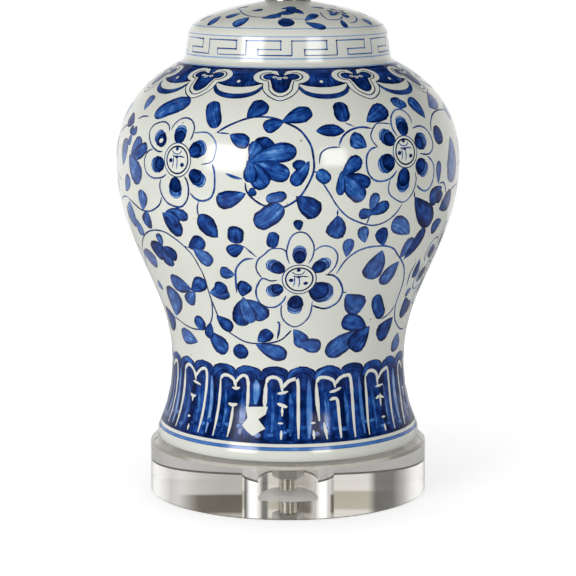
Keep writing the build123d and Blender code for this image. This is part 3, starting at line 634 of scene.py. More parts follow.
# Vines between the blossoms
VINES = [
    [(-24, 247.5), (-20, 253), (-14, 258.5), (-9, 260), (-4, 258.5), (0, 255), (4, 250), (7, 241),
     (8, 232), (8, 222), (6, 212), (3, 203), (-2, 197), (-7, 198), (-10.5, 202), (-13, 208), (-13.5, 214)],
    [(-24, 247.5), (-19.5, 247)],
    [(10, 217), (13, 207), (16, 197), (20, 189), (26, 183.5), (30, 182.3), (34, 184.5), (37.5, 189.5),
     (39.8, 196)],
    [(16.5, 239), (18, 245), (21, 249.5), (25, 251.3), (29, 250)],
    [(9.8, 227), (10.5, 234), (13, 237.5), (17, 238)],
    [(18, 146), (20.5, 156), (24, 162.5), (28, 165.5), (32, 166), (36, 165.5), (40, 162.5), (43, 157),
     (46, 152), (49, 146), (51.5, 138), (53, 130), (53.3, 122), (53.5, 115), (55, 107), (57, 101.5),
     (60, 97), (64, 93), (68, 91), (72, 90.5)],
    [(53, 114), (51.5, 109), (49, 106), (46, 104)],
    [(-68.5, 156), (-65, 162.5), (-60, 169), (-55, 173), (-50, 174.5), (-46, 173.5), (-42, 169.5),
     (-39, 165), (-36, 158), (-34.5, 150), (-33.5, 142), (-33.3, 130), (-33.2, 120), (-34.5, 110),
     (-36.5, 103.5), (-39, 99.5), (-43, 97), (-48, 96), (-54, 97.5), (-60, 100.5), (-63, 102)],
    [(-33, 123), (-32, 112), (-30.5, 105), (-28, 98.5), (-25, 95), (-20, 91), (-14.5, 90), (-7.5, 91),
     (-3, 93.5), (0, 98), (1.5, 101)],
    [(-12, 158.7), (-15.5, 157.5), (-19, 150), (-20, 140), (-20.5, 130)],
    [(-68, 195), (-63, 191.5), (-58, 188), (-53, 188), (-49.5, 190.5), (-46.5, 194.5), (-45, 200)],
    [(-64, 252), (-61, 254.5), (-57, 255.3)],
    [(56, 244), (57.5, 250), (60, 254.5), (63, 257), (68, 258.3), (76, 257)],
    [(59, 207), (62, 206.5), (64, 202), (65, 198)],
    [(56.5, 148), (55.5, 138), (57, 128)],
    [(-29.7, 199.5), (-30.5, 193), (-29.5, 184)],
    [(-39, 165), (-37, 164)],
    [(-15, 168), (-11, 160)],
    [(16, 195), (16, 191)],
    [(8, 221.5), (9.3, 221.5)],
    [(19.5, 255), (22.5, 252)],
    [(44.8, 204), (45.3, 199)],
    [(27.3, 189), (26.5, 183.5)],
    [(21.8, 130), (23.7, 130)],
    [(-4.7, 107.5), (-3.7, 106), (-4, 100), (-4.8, 94)],
    # Towards the sides, beyond the photograph
    [(74, 257.4), (80, 254), (84.5, 247), (86.8, 238), (86, 228), (82, 220), (77, 216)],
    [(66, 197), (72, 201), (78, 202), (83.5, 198), (86.5, 191), (86, 184), (82, 179.5)],
    [(72, 90.5), (77, 93), (81, 98), (84.5, 104), (88, 107)],
    [(-70, 247), (-75, 244), (-80, 238), (-83, 229), (-82.5, 219), (-78, 210), (-73, 206)],
    [(-68, 195), (-73, 194), (-78, 190), (-82, 183), (-83.5, 174), (-82, 164), (-77, 157), (-71, 154)],
    [(-68.5, 156), (-71, 147), (-76, 140), (-81, 137), (-85.5, 139.5), (-87, 146), (-84.5, 152)],
    [(-64, 101.5), (-70, 105), (-75, 110), (-80, 117), (-86, 121)],
]
for points in VINES:
    line_of(points, hand.uniform(1.1, 1.5), hand.uniform(0.55, 0.8))

# Lower blossom, in the middle of the front
blossom((4.2, 142.2), 12.2, [
    [(0.5, 155), (-0.5, 162.6), (0.1, 170.7), (1.3, 176.5), (3.5, 179.4), (6, 178.3), (8, 173),
     (8.9, 167.2), (8.5, 160.2), (7.3, 155)],
    [(9, 165), (10.8, 167.8), (12.8, 168.7), (15.5, 166.6), (17.4, 161.4), (17.5, 155), (16.5, 149.8),
     (14.8, 146.3)],
    [(13.8, 145.5), (16.5, 145.1), (19, 141.6), (21, 135.8), (21.9, 130), (20.8, 123), (18, 119),
     (15, 117.6), (12, 119), (9.8, 120.7)],
    [(9.8, 124.2), (9.6, 116), (8.5, 110.2), (6, 105.6), (3, 103.5), (0, 105.6), (-2.3, 110.2),
     (-2.9, 116), (-2.6, 121.3)],
    [(-0.8, 128.8), (-2, 124.2), (-4.5, 120.1), (-7.3, 119), (-10.5, 120.7), (-12.3, 126), (-12.5, 132.3),
     (-11.5, 137.6), (-9.5, 142.8), (-6.5, 141), (-4, 141.6)],
    [(-9.5, 142.8), (-11, 147.4), (-11.5, 152.1), (-10.5, 157.9), (-8.3, 162), (-6, 166.3), (-3.5, 167.2),
     (-1, 165.5), (0, 159)],
], [
    (4, 160.8, 9.4, 12), (11.4, 152.4, 10.5, 12), (12.3, 132.3, 16, 17), (3, 123, 11, 13),
    (-4.4, 134, 10, 10), (-3.8, 151.7, 10, 11.5),
])
# Upper left blossom
blossom((-37.9, 227), 12.2, [
    [(-42.5, 247.3), (-41.5, 252), (-39.5, 255.8), (-37, 256.9), (-34.5, 255.1), (-32.8, 250.3),
     (-32.9, 244.4), (-33.5, 241)],
    [(-32.8, 246.2), (-29.5, 247.3), (-27, 246.8), (-24.8, 243.3), (-23.6, 238.6), (-23.8, 231.7),
     (-25, 227), (-28.5, 225)],
    [(-24.6, 226), (-23.8, 221.2), (-23.6, 214.2), (-24, 207.2), (-25.5, 202), (-28.5, 199.9),
     (-31, 201.4), (-32.8, 204.9)],
    [(-45, 212.5), (-45.6, 207.2), (-44.8, 201.4), (-42.5, 196.2), (-39, 194.2), (-36.3, 195),
     (-34, 200.3), (-33.3, 207.2), (-33.8, 213), (-34.8, 216)],
    [(-49.5, 232.8), (-52, 230.5), (-53.4, 225.8), (-53.5, 221.2), (-52.3, 216), (-49.5, 213),
     (-46.5, 213), (-44, 214.2), (-42.3, 216.5)],
    [(-43, 246.2), (-44, 250.3), (-46.5, 252.6), (-49.5, 251.7), (-52, 249.1), (-53.1, 245),
     (-52.3, 239.8), (-50, 234.6), (-47, 231.7), (-44.5, 231.7)],
], [
    (-38, 243.5, 10.5, 10.5), (-30.8, 234.6, 11.5, 12), (-30.5, 216.5, 11, 12), (-38.6, 209, 11.5, 12.5),
    (-45.8, 222.9, 11, 11.5), (-45.9, 239.8, 10.5, 11),
])
spot((-46, 239.2), 2.0, 1.6, BARE, 0.5, 9, 0.1)
# Upper right blossom
blossom((41, 232.3), 11.6, [
    [(38.5, 243.3), (37.2, 249.1), (37.5, 254.9), (39, 259.6), (41.7, 262.8), (44.8, 261.9),
     (46.7, 257.2), (46.8, 251.4)],
    [(46.2, 247.9), (49.6, 249.1), (52.7, 247.3), (54.8, 242.1), (55.4, 236.3), (54.3, 231),
     (51.7, 228.7), (47.5, 229.9)],
    [(51.2, 227.6), (53.8, 223.5), (54.9, 217.7), (54.3, 209.6), (52.2, 204.3), (49.6, 203.5),
     (46.9, 206.1), (45.9, 208.4)],
    [(34.3, 214.2), (33.6, 208.4), (34.3, 203.7), (36.4, 200.3), (39.6, 197.3), (42.2, 199.1),
     (44.3, 204.3), (45.4, 211.9), (44.8, 217.7)],
    [(29.8, 236.9), (27.5, 235.7), (25.9, 231.7), (25.5, 225.8), (26.2, 218.9), (28.5, 214.2),
     (31.7, 213.4), (34.8, 215.4), (36.9, 220)],
    [(30.1, 236.9), (28.8, 239.8), (28, 244.4), (29.1, 249.1), (31.2, 253.2), (33.8, 253.4),
     (37.2, 252.3)],
], [
    (41.7, 249.1, 11, 12), (48.3, 238, 12, 11), (47.7, 221.2, 12, 12), (39.8, 214.2, 12, 15),
    (33.5, 225.8, 13, 12), (34.8, 242.1, 11, 11.5),
])
# Side blossom, half way round to the back
blossom((75, 145), 12.0, [
    [(70.6, 156), (70, 163), (71.6, 171), (75, 175), (78.6, 171), (80, 163), (79.2, 156)],
    [(80.4, 163), (84, 165), (87, 160), (87.6, 152), (85.4, 147)],
    [(85.4, 144), (88.2, 138), (87.8, 128), (84, 123), (80.6, 126)],
    [(80.2, 128), (80, 118), (77, 110), (73, 110), (70.2, 118), (70, 127)],
    [(69.6, 126), (66, 123.4), (62.6, 128), (62, 137), (64.4, 144)],
    [(64.4, 146), (62.2, 152), (63, 160), (66.4, 165), (69.8, 163)],
], [
    (75, 161, 10, 12), (82.2, 153, 10, 12), (82.2, 136, 12, 13), (75, 126, 11, 13), (67.8, 136, 11, 12),
    (67.8, 153, 10, 12),
])

# Leaves between the blossoms: base, tip, width, and the touch where it isn't a plain leaf
LEAF_SPREAD = 1.14
LEAVES = [
    # Middle of the front
    (-18, 170, -17, 183, 10.5, "block"), (-15, 168, -21, 161.5, 9),
    (-5.5, 167.5, -4.3, 179.5, 7.5, "block"), (-20, 145, -25.8, 147, 9), (-18.5, 127, -15.5, 139, 9.5),
    (-18.5, 125, -20.5, 103, 12), (-17.5, 125, -9.8, 109, 13), (-18, 127, -15.6, 106, 11),
    (-14, 91.5, -7.5, 100, 9), (-15, 90, -0.5, 81.5, 10.5), (2.3, 101.5, 7, 87, 9.5),
    (4.5, 91, 15.3, 88, 10), (-26.3, 84.5, -18.7, 84, 10, "round"), (20.8, 159, 20.8, 173.5, 7.5),
    (-19.3, 246.5, -12.5, 240.5, 9.5), (-14.2, 259, -8, 271.5, 12), (-2, 256.5, 8.3, 264.5, 11),
    (-1.5, 255.5, -8, 251, 9), (-12.5, 226, -5.3, 243.5, 14), (-12, 230, -9.5, 242, 9),
    (-12, 228, 2.8, 235, 12), (-12, 227, 0.4, 218.5, 12), (-13, 229, -6.5, 211.5, 13),
    (-12, 229, -11.8, 214, 9), (6.7, 229, 1.2, 213, 8.5), (5.5, 228.5, 1.7, 224.5, 6),
    (-7, 203, -0.5, 206.5, 7, "block"), (-12.8, 206.5, -10.2, 209, 5.5), (-13.3, 206.5, -23.3, 199.5, 11),
    (-20, 220, -14.3, 216.5, 2, "lens"), (-2.2, 199.5, -11, 185, 13, "block"), (2.5, 205, 10, 192, 13),
    (4, 180.5, 3.3, 188.5, 6), (16, 191, 15, 174.5, 13), (9, 221.5, 13, 214.5, 8, "block"),
    (9.2, 249.3, 19, 248.8, 8, "lens"), (19, 255.5, 19, 271.5, 10, "block"), (26, 237, 20.5, 244, 10.5),
    (17, 218, 23.5, 230.5, 9.5), (16.8, 217, 26.8, 211.5, 9), (16.2, 220, 24.5, 201, 12),
    (17, 222, 16.6, 205, 6),
    # Left of the front
    (-37, 164, -29.8, 172, 10), (-35, 164, -28.3, 152.5, 11), (-51, 162, -51, 172, 7),
    (-50, 163, -57.5, 154, 14), (-51, 159, -50, 146, 11), (-51, 161, -44, 154.5, 10),
    (-70, 150.5, -59, 146, 13), (-70, 124, -64.8, 127, 7), (-42, 129, -53.7, 133.5, 13),
    (-42.5, 128, -34, 139.5, 10), (-40.5, 127, -47, 116, 9), (-61.5, 103, -54, 126.5, 17),
    (-63, 102, -75, 98, 17), (-43.8, 96, -43.8, 107.5, 10, "round"), (-47.2, 86, -60, 88.5, 11),
    (-38.5, 97, -29.3, 82.5, 12), (-36.5, 103.5, -40, 91, 7), (-33, 128, -24, 131, 11),
    (-29.5, 127, -25.5, 137.5, 9), (-32.3, 110, -25.2, 100, 9.5), (-53.8, 256, -38.3, 269.5, 12, "block"),
    (-24.2, 251, -28.5, 271.5, 10, "block"), (-62.5, 259, -62.5, 272, 9), (-66, 249, -73, 252, 10),
    (-65, 240, -61.8, 245, 6), (-65, 240, -67, 246, 6), (-65, 241, -66, 232.5, 6),
    (-63.5, 221, -57.5, 239.5, 11), (-63.5, 223, -52.7, 234.5, 9), (-64.3, 226, -56, 209, 15),
    (-70, 217, -69.5, 237, 12), (-69, 199, -64.5, 211, 9.5), (-57, 188, -55, 202.5, 11),
    (-54, 188, -57, 176, 11), (-66.5, 192.5, -70, 175, 16), (-64, 180, -63, 167, 10),
    (-44, 190, -34.5, 187, 8), (-45.8, 189, -38, 175, 12), (-44.6, 189, -39, 181, 9),
    (-29.5, 190.5, -24, 174, 13, "point"), (-80, 236, -84, 220, 12), (-78, 205, -86, 196, 12),
    (-79, 262, -86, 250, 11), (-80, 176, -87, 186, 12), (-78, 120, -86, 112, 12), (-80, 92, -88, 86, 11),
    # Right of the front
    (34.8, 162.5, 32, 139.5, 16), (44.5, 154, 49, 169, 10), (47, 152.5, 54, 175.5, 10),
    (45, 151.5, 39.5, 133.5, 12), (23.7, 128.5, 33, 115, 15), (38.5, 125.5, 46.5, 105.5, 9, "block"),
    (38, 98, 24, 107.5, 12), (38, 98, 18, 81, 13), (39.5, 100, 31, 83, 15), (54.5, 104, 46, 89.5, 14),
    (64, 89.5, 64, 75.5, 13), (59, 125, 62, 121, 7), (60, 113, 70, 106, 9), (60, 118, 65, 101, 11),
    (58.6, 150, 60, 134, 7), (27, 169.5, 25, 182, 8), (35, 166, 32, 179.5, 9.5),
    (46, 172.5, 36.5, 183.5, 12), (27.5, 255, 37.3, 265.5, 12), (45.5, 263, 43.5, 273, 9),
    (44.5, 264, 47.8, 269, 6), (55.3, 254, 51.5, 271, 11), (61.5, 262, 72, 270, 11),
    (57, 241, 63.3, 241.5, 12.5, "round"), (70, 238, 69, 205, 20), (58.3, 206, 58.3, 223, 6.5),
    (61, 204, 53.5, 195.5, 12), (59, 203, 61, 193.5, 9), (61.2, 187.5, 71, 194, 14),
    (45.3, 200, 57.8, 179, 15), (27.5, 192, 29.3, 205.5, 7), (29, 192, 23.3, 191.5, 7),
    (27, 190.5, 34.3, 197.5, 8), (66, 178, 59, 172, 10), (82, 262, 77, 250, 11), (80, 236, 84, 222, 12),
    (84, 205, 78, 196, 12), (80, 184, 87, 190, 11), (82, 100, 88, 92, 11),
    # Small ones at both sides
    (80.5, 219, 86, 211, 8), (84.5, 180, 87, 169.5, 6), (85, 106, 86.5, 116, 6),
    (-82.5, 224, -87, 232, 7), (-84.5, 151, -87, 160, 6), (-83.5, 119, -86.5, 128, 6),
]


def paint_leaves(leaves, spread):
    for base_angle, base_height, tip_angle, tip_height, width, *shape in leaves:
        touch((base_angle, base_height), (tip_angle, tip_height), width * spread, *shape)


paint_leaves(LEAVES, LEAF_SPREAD)

# Leaves and scrolls on the dome
DOME_LEAVES = [
    (-58, 352, -54, 339, 9), (-29, 351.5, -35, 339, 10), (-42, 358, -49, 349, 8),
    (-6.5, 346, 3.5, 341.5, 11, "round"), (-19, 350, -6, 357, 8), (11, 346, 23, 358, 7),
    (11, 345, 23, 338, 7), (38.5, 347, 36.5, 337, 5), (34, 354, 42, 360, 6), (45, 349, 50, 355, 6),
    (-10, 358, 4, 364, 9), (13, 358, 0, 370, 9), (-8, 370, 8, 375, 7), (-36, 364, -26, 368, 6),
    (58, 346, 64, 340, 8), (-72, 352, -76, 342, 8), (72, 356, 80, 350, 7), (-66, 368, -54, 374, 6),
    (28, 374, 42, 370, 5), (62, 370, 74, 376, 6),
]
DOME_SCROLLS = [
    [(-60, 367), (-50, 364), (-40, 358), (-30, 353.5), (-20, 352), (-12, 354)],
    [(-8, 352), (0, 350), (11, 349), (20, 349.5)],
    [(29, 361), (27, 355), (28, 348), (33, 347), (38, 348), (44, 352)],
    [(42, 342), (48, 343), (55, 348), (58, 354), (54, 358), (48, 357)],
    [(40, 364), (46, 362), (52, 364), (50, 369), (43, 369)],
]
DOME_BERRIES = [(46, 359), (52, 357.6), (55, 362), (49, 366), (41, 363)]
paint_leaves(DOME_LEAVES, 1)
for points in DOME_SCROLLS:
    line_of(points, hand.uniform(0.9, 1.3), hand.uniform(0.4, 0.65))
for angle, height in DOME_BERRIES:
    spot((angle, height), 2.6, 2.2, 0.8, 0.2, 9, 0.1)

# The painting is laid out flat, degrees across and mm up, and cut into triangles along every brush edge.
# The flat sheet is then wrapped round the outline; the back repeats the front.
SHEET_START = -90.0
SHEET_END = 270.0
SHEET_TURNS = (0, 180, 360, -180)
SHEET_SCALE = 2.0
RIM_STEPS = 180
ROW_STEP = 6.0
FLARE_ROWS = (294.0, 318.0)
FLARE_STEP = 2.4
CORD_HOLE_RADIUS = 5.5
HOLE = -2.0
ON_EDGE = 1e-9
CUT_TOLERANCE = 0.0001
SEED_TURN = 0.37
SHORTEST = 1e-6
NARROWEST = 0.05
JOIN_POINTS = 0.002
bushing_low, bushing_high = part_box("cord_bushing")
hole_height = (bushing_low.z + bushing_high.z) / 2 / MM - jar_low
hole_arc = float(np.interp(hole_height, wall_height, wall_arc))

front_marks = marks
marks = []
for left, right, depth, seed in front_marks:
    for turn in SHEET_TURNS:
        shift = np.array([turn, 0.0])
        angles = np.concatenate([left, right])[:, 0] + turn
        if angles.max() > SHEET_START and angles.min() < SHEET_END:
            marks.append((left + shift, right + shift, depth, (seed + turn * SEED_TURN) % 1))
spot((180.0, hole_arc), CORD_HOLE_RADIUS, CORD_HOLE_RADIUS, HOLE, 0.0, 17)

rim = np.linspace(SHEET_START, SHEET_END, RIM_STEPS + 1)
rows = np.concatenate([
    np.linspace(0, FLARE_ROWS[0], int(FLARE_ROWS[0] / ROW_STEP)),
    np.arange(FLARE_ROWS[0] + FLARE_STEP, FLARE_ROWS[1], FLARE_STEP),
    np.linspace(FLARE_ROWS[1], ARC_LENGTH, int((ARC_LENGTH - FLARE_ROWS[1]) / ROW_STEP)),
])
border = [(angle, 0.0) for angle in rim] + [(SHEET_END, row) for row in rows[1:-1]]
border += [(angle, ARC_LENGTH) for angle in rim[::-1]] + [(SHEET_START, row) for row in rows[-2:0:-1]]
sheet_points = list(border)
sheet_edges = [(i, (i + 1) % len(border)) for i in range(len(border))]
half_step = (rim[1] - rim[0]) / 2
for index, row in enumerate(rows[1:-1]):
    sheet_points += [(angle - half_step * (index % 2), row) for angle in rim[1:-1]]
for left, right, depth, seed in marks:
    loop = [tuple(point) for point in left] + [tuple(point) for point in right[::-1]]
    first = len(sheet_points)
    sheet_points += loop
    sheet_edges += [(first + i, first + (i + 1) % len(loop)) for i in range(len(loop))]

flat = [Vector((angle * SHEET_SCALE, arc)) for angle, arc in sheet_points]
cut_sheet = delaunay_2d_cdt(flat, sheet_edges, [], 0, CUT_TOLERANCE, False)
cut_points = np.array([(point.x / SHEET_SCALE, point.y) for point in cut_sheet[0]])
cut_faces = np.array(cut_sheet[2])
middles = cut_points[cut_faces].mean(axis=1)
upward = middles[:, 1].argsort()
owners = np.full(len(cut_faces), -1)
for index, (left, right, depth, seed) in enumerate(marks):
    corners = np.concatenate([left, right])
    low, high = corners.min(axis=0), corners.max(axis=0)
    first, last = np.searchsorted(middles[upward, 1], (low[1], high[1]))
    near = upward[first:last]
    near = near[(middles[near, 0] > low[0]) & (middles[near, 0] < high[0])]
    for i in range(len(left) - 1):
        quad = (left[i], right[i], right[i + 1], left[i + 1])
        turns = []
        for corner, after in zip(quad, quad[1:] + quad[:1]):
            run = after - corner
            reach = middles[near] - corner
            turns.append(run[0] * reach[:, 1] - run[1] * reach[:, 0])
        turns = np.array(turns)
        owners[near[np.all(turns > -ON_EDGE, axis=0) | np.all(turns < ON_EDGE, axis=0)]] = index
cut_hole = len(marks) - 1
on_sheet = (middles[:, 0] > SHEET_START) & (middles[:, 0] < SHEET_END) & (owners != cut_hole)
kept_faces = cut_faces[on_sheet]
kept_marks = owners[on_sheet]

# Each corner of the painting knows its mark: ink, depth, place across and along it, and a seed for its
# streaks
paint_values = np.zeros((len(kept_faces), 3, 4))
streak_values = np.zeros((len(kept_faces), 3, 3))
for index in np.unique(kept_marks[kept_marks >= 0]):
    left, right, depth, seed = marks[index]
    mine = np.nonzero(kept_marks == index)[0]
    place = cut_points[kept_faces[mine]].reshape(-1, 2)
    scale = np.array([mm_per_degree(left[:, 1].mean()), 1.0])
    line = (left + right) / 2 * scale
    halves = np.linalg.norm((left - right) * scale, axis=1) / 2
    start = line[:-1]
    run = line[1:] - line[:-1]
    length = np.maximum(np.hypot(run[:, 0], run[:, 1]), SHORTEST)
    offset = place[:, None, :] * scale - start[None]
    share = np.clip((offset * run).sum(2) / length ** 2, 0, 1)
    gap = offset - share[..., None] * run
    nearest = np.hypot(gap[..., 0], gap[..., 1]).argmin(1)
    pick = np.arange(len(place))
    t = share[pick, nearest]
    half = halves[nearest] * (1 - t) + halves[nearest + 1] * t
    turn = run[nearest, 0] * offset[pick, nearest, 1] - run[nearest, 1] * offset[pick, nearest, 0]
    across = turn / length[nearest]
    along = np.concatenate([[0], np.cumsum(length)])[nearest] + t * length[nearest]
    shape = (len(mine), 3)
    paint_values[mine, :, 0] = 0.0 if depth == BARE else 1.0
    paint_values[mine, :, 1] = abs(depth)
    paint_values[mine, :, 2] = np.clip(across / np.maximum(half, NARROWEST), -1, 1).reshape(shape)
    paint_values[mine, :, 3] = (along / length.sum()).reshape(shape)
    streak_values[mine, :, 0] = along.reshape(shape)
    streak_values[mine, :, 1] = across.reshape(shape)
    streak_values[mine, :, 2] = seed

jar_form = bmesh.new()
paint_layer = jar_form.loops.layers.float_color.new("paint")
streak_layer = jar_form.loops.layers.float_vector.new("streak")
arc_layer = jar_form.verts.layers.float.new("arc")
jar_verts = []
for angle, arc in cut_points:
    turn = math.radians(angle)
    radius = radius_at(arc) * MM
    height = (jar_low + np.interp(arc, wall_arc, wall_height)) * MM
    vert = jar_form.verts.new((radius * math.sin(turn), -radius * math.cos(turn), height))
    vert[arc_layer] = arc
    jar_verts.append(vert)
for corners, paint, streak in zip(kept_faces, paint_values, streak_values):
    face = jar_form.faces.new([jar_verts[corner] for corner in corners])
    for loop, paint_value, streak_value in zip(face.loops, paint, streak):
        loop[paint_layer] = paint_value
        loop[streak_layer] = streak_value
bmesh.ops.delete(jar_form, geom=[vert for vert in jar_form.verts if not vert.link_faces], context="VERTS")
bmesh.ops.remove_doubles(jar_form, verts=jar_form.verts, dist=JOIN_POINTS * MM)

# Inside, foot ring and holes are drawn on from the open edges of the painted wall
FOOT_RECESS_RADIUS = 73.0
FOOT_RECESS = 5.0
FLOOR_TOP = 12.0
TOP_HOLE_RADIUS = 10.0
INNER_STRIDE = 8
INNER_MARGIN_UP = 1.0
INNER_MARGIN_OUT = 6.0
SAME_HEIGHT = 0.05
NOT_PAINTED = -1


def open_loop(near_height):
    return [
        edge for edge in jar_form.edges
        if edge.is_boundary and all(abs(vert.co.z - near_height) < SAME_HEIGHT * MM for vert in edge.verts)
    ]


def grow(edges):
    grown = bmesh.ops.extrude_edge_only(jar_form, edges=edges)["geom"]
    verts = [item for item in grown if isinstance(item, bmesh.types.BMVert)]
    for vert in verts:
        vert[arc_layer] = NOT_PAINTED
    return verts, [item for item in grown if isinstance(item, bmesh.types.BMEdge)]


top_loop = open_loop(jar_high * MM)
inner_steps = [
    (FOOT_RECESS_RADIUS, 0), (FOOT_RECESS_RADIUS, FOOT_RECESS), (ROD_HOLE_RADIUS, FOOT_RECESS),
    (ROD_HOLE_RADIUS, FLOOR_TOP),
]
rise = np.gradient(wall_height, wall_arc)
widen = np.gradient(wall_radius, wall_arc)
inner_radius = wall_radius - JAR_WALL * rise
inner_height = wall_height + JAR_WALL * widen
inner_steps += [
    (float(inner_radius[i]), float(inner_height[i])) for i in range(0, len(wall_arc), INNER_STRIDE)
    if inner_height[i] > FLOOR_TOP + INNER_MARGIN_UP and inner_radius[i] > TOP_HOLE_RADIUS + INNER_MARGIN_OUT
]
inner_steps += [(TOP_HOLE_RADIUS, float(inner_height[-1])), (TOP_HOLE_RADIUS, jar_high - jar_low)]
edges = open_loop(jar_low * MM)
for radius, height in inner_steps:
    verts, edges = grow(edges)
    for vert in verts:
        spread = radius * MM / math.hypot(vert.co.x, vert.co.y)
        vert.co = (vert.co.x * spread, vert.co.y * spread, (jar_low + height) * MM)
bmesh.ops.bridge_loops(jar_form, edges=edges + top_loop)
for vert in grow([edge for edge in jar_form.edges if edge.is_boundary])[0]:
    vert.co.y -= JAR_WALL * MM
for face in jar_form.faces:
    painted = len(face.verts) == 3 and all(vert[arc_layer] >= 0 for vert in face.verts)
    face.smooth = True
    face.material_index = 0 if painted else 1
bmesh.ops.recalc_face_normals(jar_form, faces=jar_form.faces)
jar_mesh = mesh_from(jar_form, "painted_jar")


# The painted wall is shaded by the outline's own slope, so that its triangles don't show
def read_all(data, name, size=1, kind=float):
    values = np.zeros(len(data) * size, kind)
    data.foreach_get(name, values)
    return values


corner_verts = read_all(jar_mesh.loops, "vertex_index", 1, int)
vert_place = read_all(jar_mesh.vertices, "co", 3).reshape(-1, 3)
vert_arc = read_all(jar_mesh.attributes["arc"].data, "value")
vert_rise = np.interp(vert_arc, wall_arc, rise)
vert_widen = np.interp(vert_arc, wall_arc, widen)
outward = np.hypot(vert_place[:, 0], vert_place[:, 1])[:, None]
vert_normals = np.column_stack([vert_place[:, :2] / outward * vert_rise[:, None], -vert_widen])
vert_normals /= np.linalg.norm(vert_normals, axis=1)[:, None]
face_slots = read_all(jar_mesh.polygons, "material_index", 1, int)
face_corners = read_all(jar_mesh.polygons, "loop_total", 1, int)
painted = np.repeat(face_slots == 0, face_corners)
corner_normals = np.where(painted[:, None], vert_normals[corner_verts], 0.0)
jar_mesh.normals_split_custom_set(corner_normals.tolist())

# Glaze over cobalt: clear and glossy off-white, a little uneven, with iron specks. The blue pools dark along
# a stroke's edge and where the brush lifts, and thins to streaks along its middle.
SPECK_SPACING = 10.0
STREAK_LENGTH = 16.0
STREAK_WIDTH = 1.6
STREAK_SEEDS = 40.0
BLOTCH_SIZE = 6.0
GROUND_CLOUD = 40.0
GLAZE_WAVE = 22.0
COBALT = [
    (0.0, "#9db9de"), (0.2, "#4b7fc0"), (0.4, "#27569f"), (0.6, "#163a80"), (0.8, "#0a255d"),
    (1.0, "#04143c"),
]


def reckon(owner, operation, *terms):
    return add_node(owner, "Math", {"operation": operation, **dict(enumerate(terms))}).outputs["Value"]


def blend(owner, share, first, second, kind="RGBA"):
    settings = {"data_type": kind, "Factor": share, "A": first, "B": second}
    return add_node(owner, "Mix", settings).outputs["Result"]


def stretched_noise(material, place, scale, detail):
    stretched = add_node(material, "VectorMath", {"operation": "MULTIPLY", 0: place, 1: scale})
    settings = {"Scale": 1.0, "Detail": detail, "Vector": stretched.outputs["Vector"]}
    return add_node(material, "TexNoise", settings).outputs["Fac"]


glaze = new_material("glazed stoneware with cobalt", {"Roughness": 0.07, "IOR": 1.5})
paint = add_node(glaze, "Attribute", {"attribute_name": "paint"}).outputs
streak = add_node(glaze, "Attribute", {"attribute_name": "streak"}).outputs
paint_parts = add_node(glaze, "SeparateColor", {"Color": paint["Color"]}).outputs
depth_of_colour = paint_parts["Green"]
streak_scale = (1 / STREAK_LENGTH, 1 / STREAK_WIDTH, STREAK_SEEDS)
streaky = remap(glaze, stretched_noise(glaze, streak["Vector"], streak_scale, 2.0), -0.2, 0.2, 0.25, 0.75)
blotchy = remap(glaze, grain(glaze, BLOTCH_SIZE), -0.2, 0.2, 0.3, 0.7)
pooled = remap(glaze, reckon(glaze, "ABSOLUTE", paint_parts["Blue"]), -0.1, 0.3, 0.55, 0.95, "SMOOTHSTEP")
lifted = remap(glaze, paint["Alpha"], 0.0, 0.12, 0.7, 1.0, "SMOOTHSTEP")
loose = remap(glaze, depth_of_colour, 0.3, 1.0, 0.34, 0.5)
total = reckon(glaze, "MULTIPLY_ADD", reckon(glaze, "ADD", streaky, blotchy), loose, depth_of_colour)
for part in (pooled, lifted):
    total = reckon(glaze, "ADD", total, part)
cobalt = ramp(glaze, total, COBALT)
ground = ramp(glaze, grain(glaze, GROUND_CLOUD, 3.0), [(0.0, "#d3d5cb"), (1.0, "#dcded6")])
specks = cells(glaze, SPECK_SPACING)
speck_size = remap(glaze, specks["Color"], 0.0, 0.085, 0.4, 1.0)
speck = reckon(glaze, "LESS_THAN", specks["Distance"], speck_size)
speckled = blend(glaze, speck, ground, linear("#77623f"))
feed(glaze, blend(glaze, paint_parts["Red"], speckled, cobalt), "Base Color")
feed(glaze, remap(glaze, depth_of_colour, 0.5, 0.1, 0.5, 0.62), "Specular IOR Level")
emboss(glaze, grain(glaze, GLAZE_WAVE, 1.0), 0.25, 0.4)

# Unglazed stoneware on the foot ring and inside: dry, pale and finely gritty
GRIT_SIZE = 0.9
biscuit = new_material("unglazed stoneware", {"Roughness": 0.85})
grit = grain(biscuit, GRIT_SIZE, 3.0)
tint(biscuit, grit, "#b8ad99", "#ddd5c6")
emboss(biscuit, grit, 0.3, 0.1)
painted_jar = new_piece("painted_jar", jar_mesh, [glaze, biscuit], "lamp")
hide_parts("ceramic_jar")

# Neck: a polished nickel tube on the dome, centred by a check ring and closed by a tapped cap.
# The nipple, saddle nut and set screw above it are zinc-plated steel.
dress(nickel, "neck", "neck_cap", "harp_saddle", "socket_cap", "socket_shell")
dress(zinc, "neck_ring", "socket_nipple", "saddle_nut", "cap_set_screw")

# Lampholder: brass screw shell and contact in a moulded body, a fibre liner round it inside the nickel shell,
# and a turn switch with a fluted black knob at the front.
CARD_FIBRE = 0.6
fibre = new_material("pressed insulating fibre", {"Roughness": 0.9})
fibre_grain = grain(fibre, CARD_FIBRE, 4.0)
tint(fibre, fibre_grain, "#4b4034", "#75675a")
emboss(fibre, fibre_grain, 0.4, 0.08)
dress(fibre, "socket_liner")

# Moulded phenolic: nearly black, half matt, with the faint mottle of its filler
MOTTLE_SIZE = 2.5
phenolic = new_material("moulded phenolic", {"Roughness": 0.45})
tint(phenolic, grain(phenolic, MOTTLE_SIZE), "#16130f", "#332c25")
dress(phenolic, "socket_body")

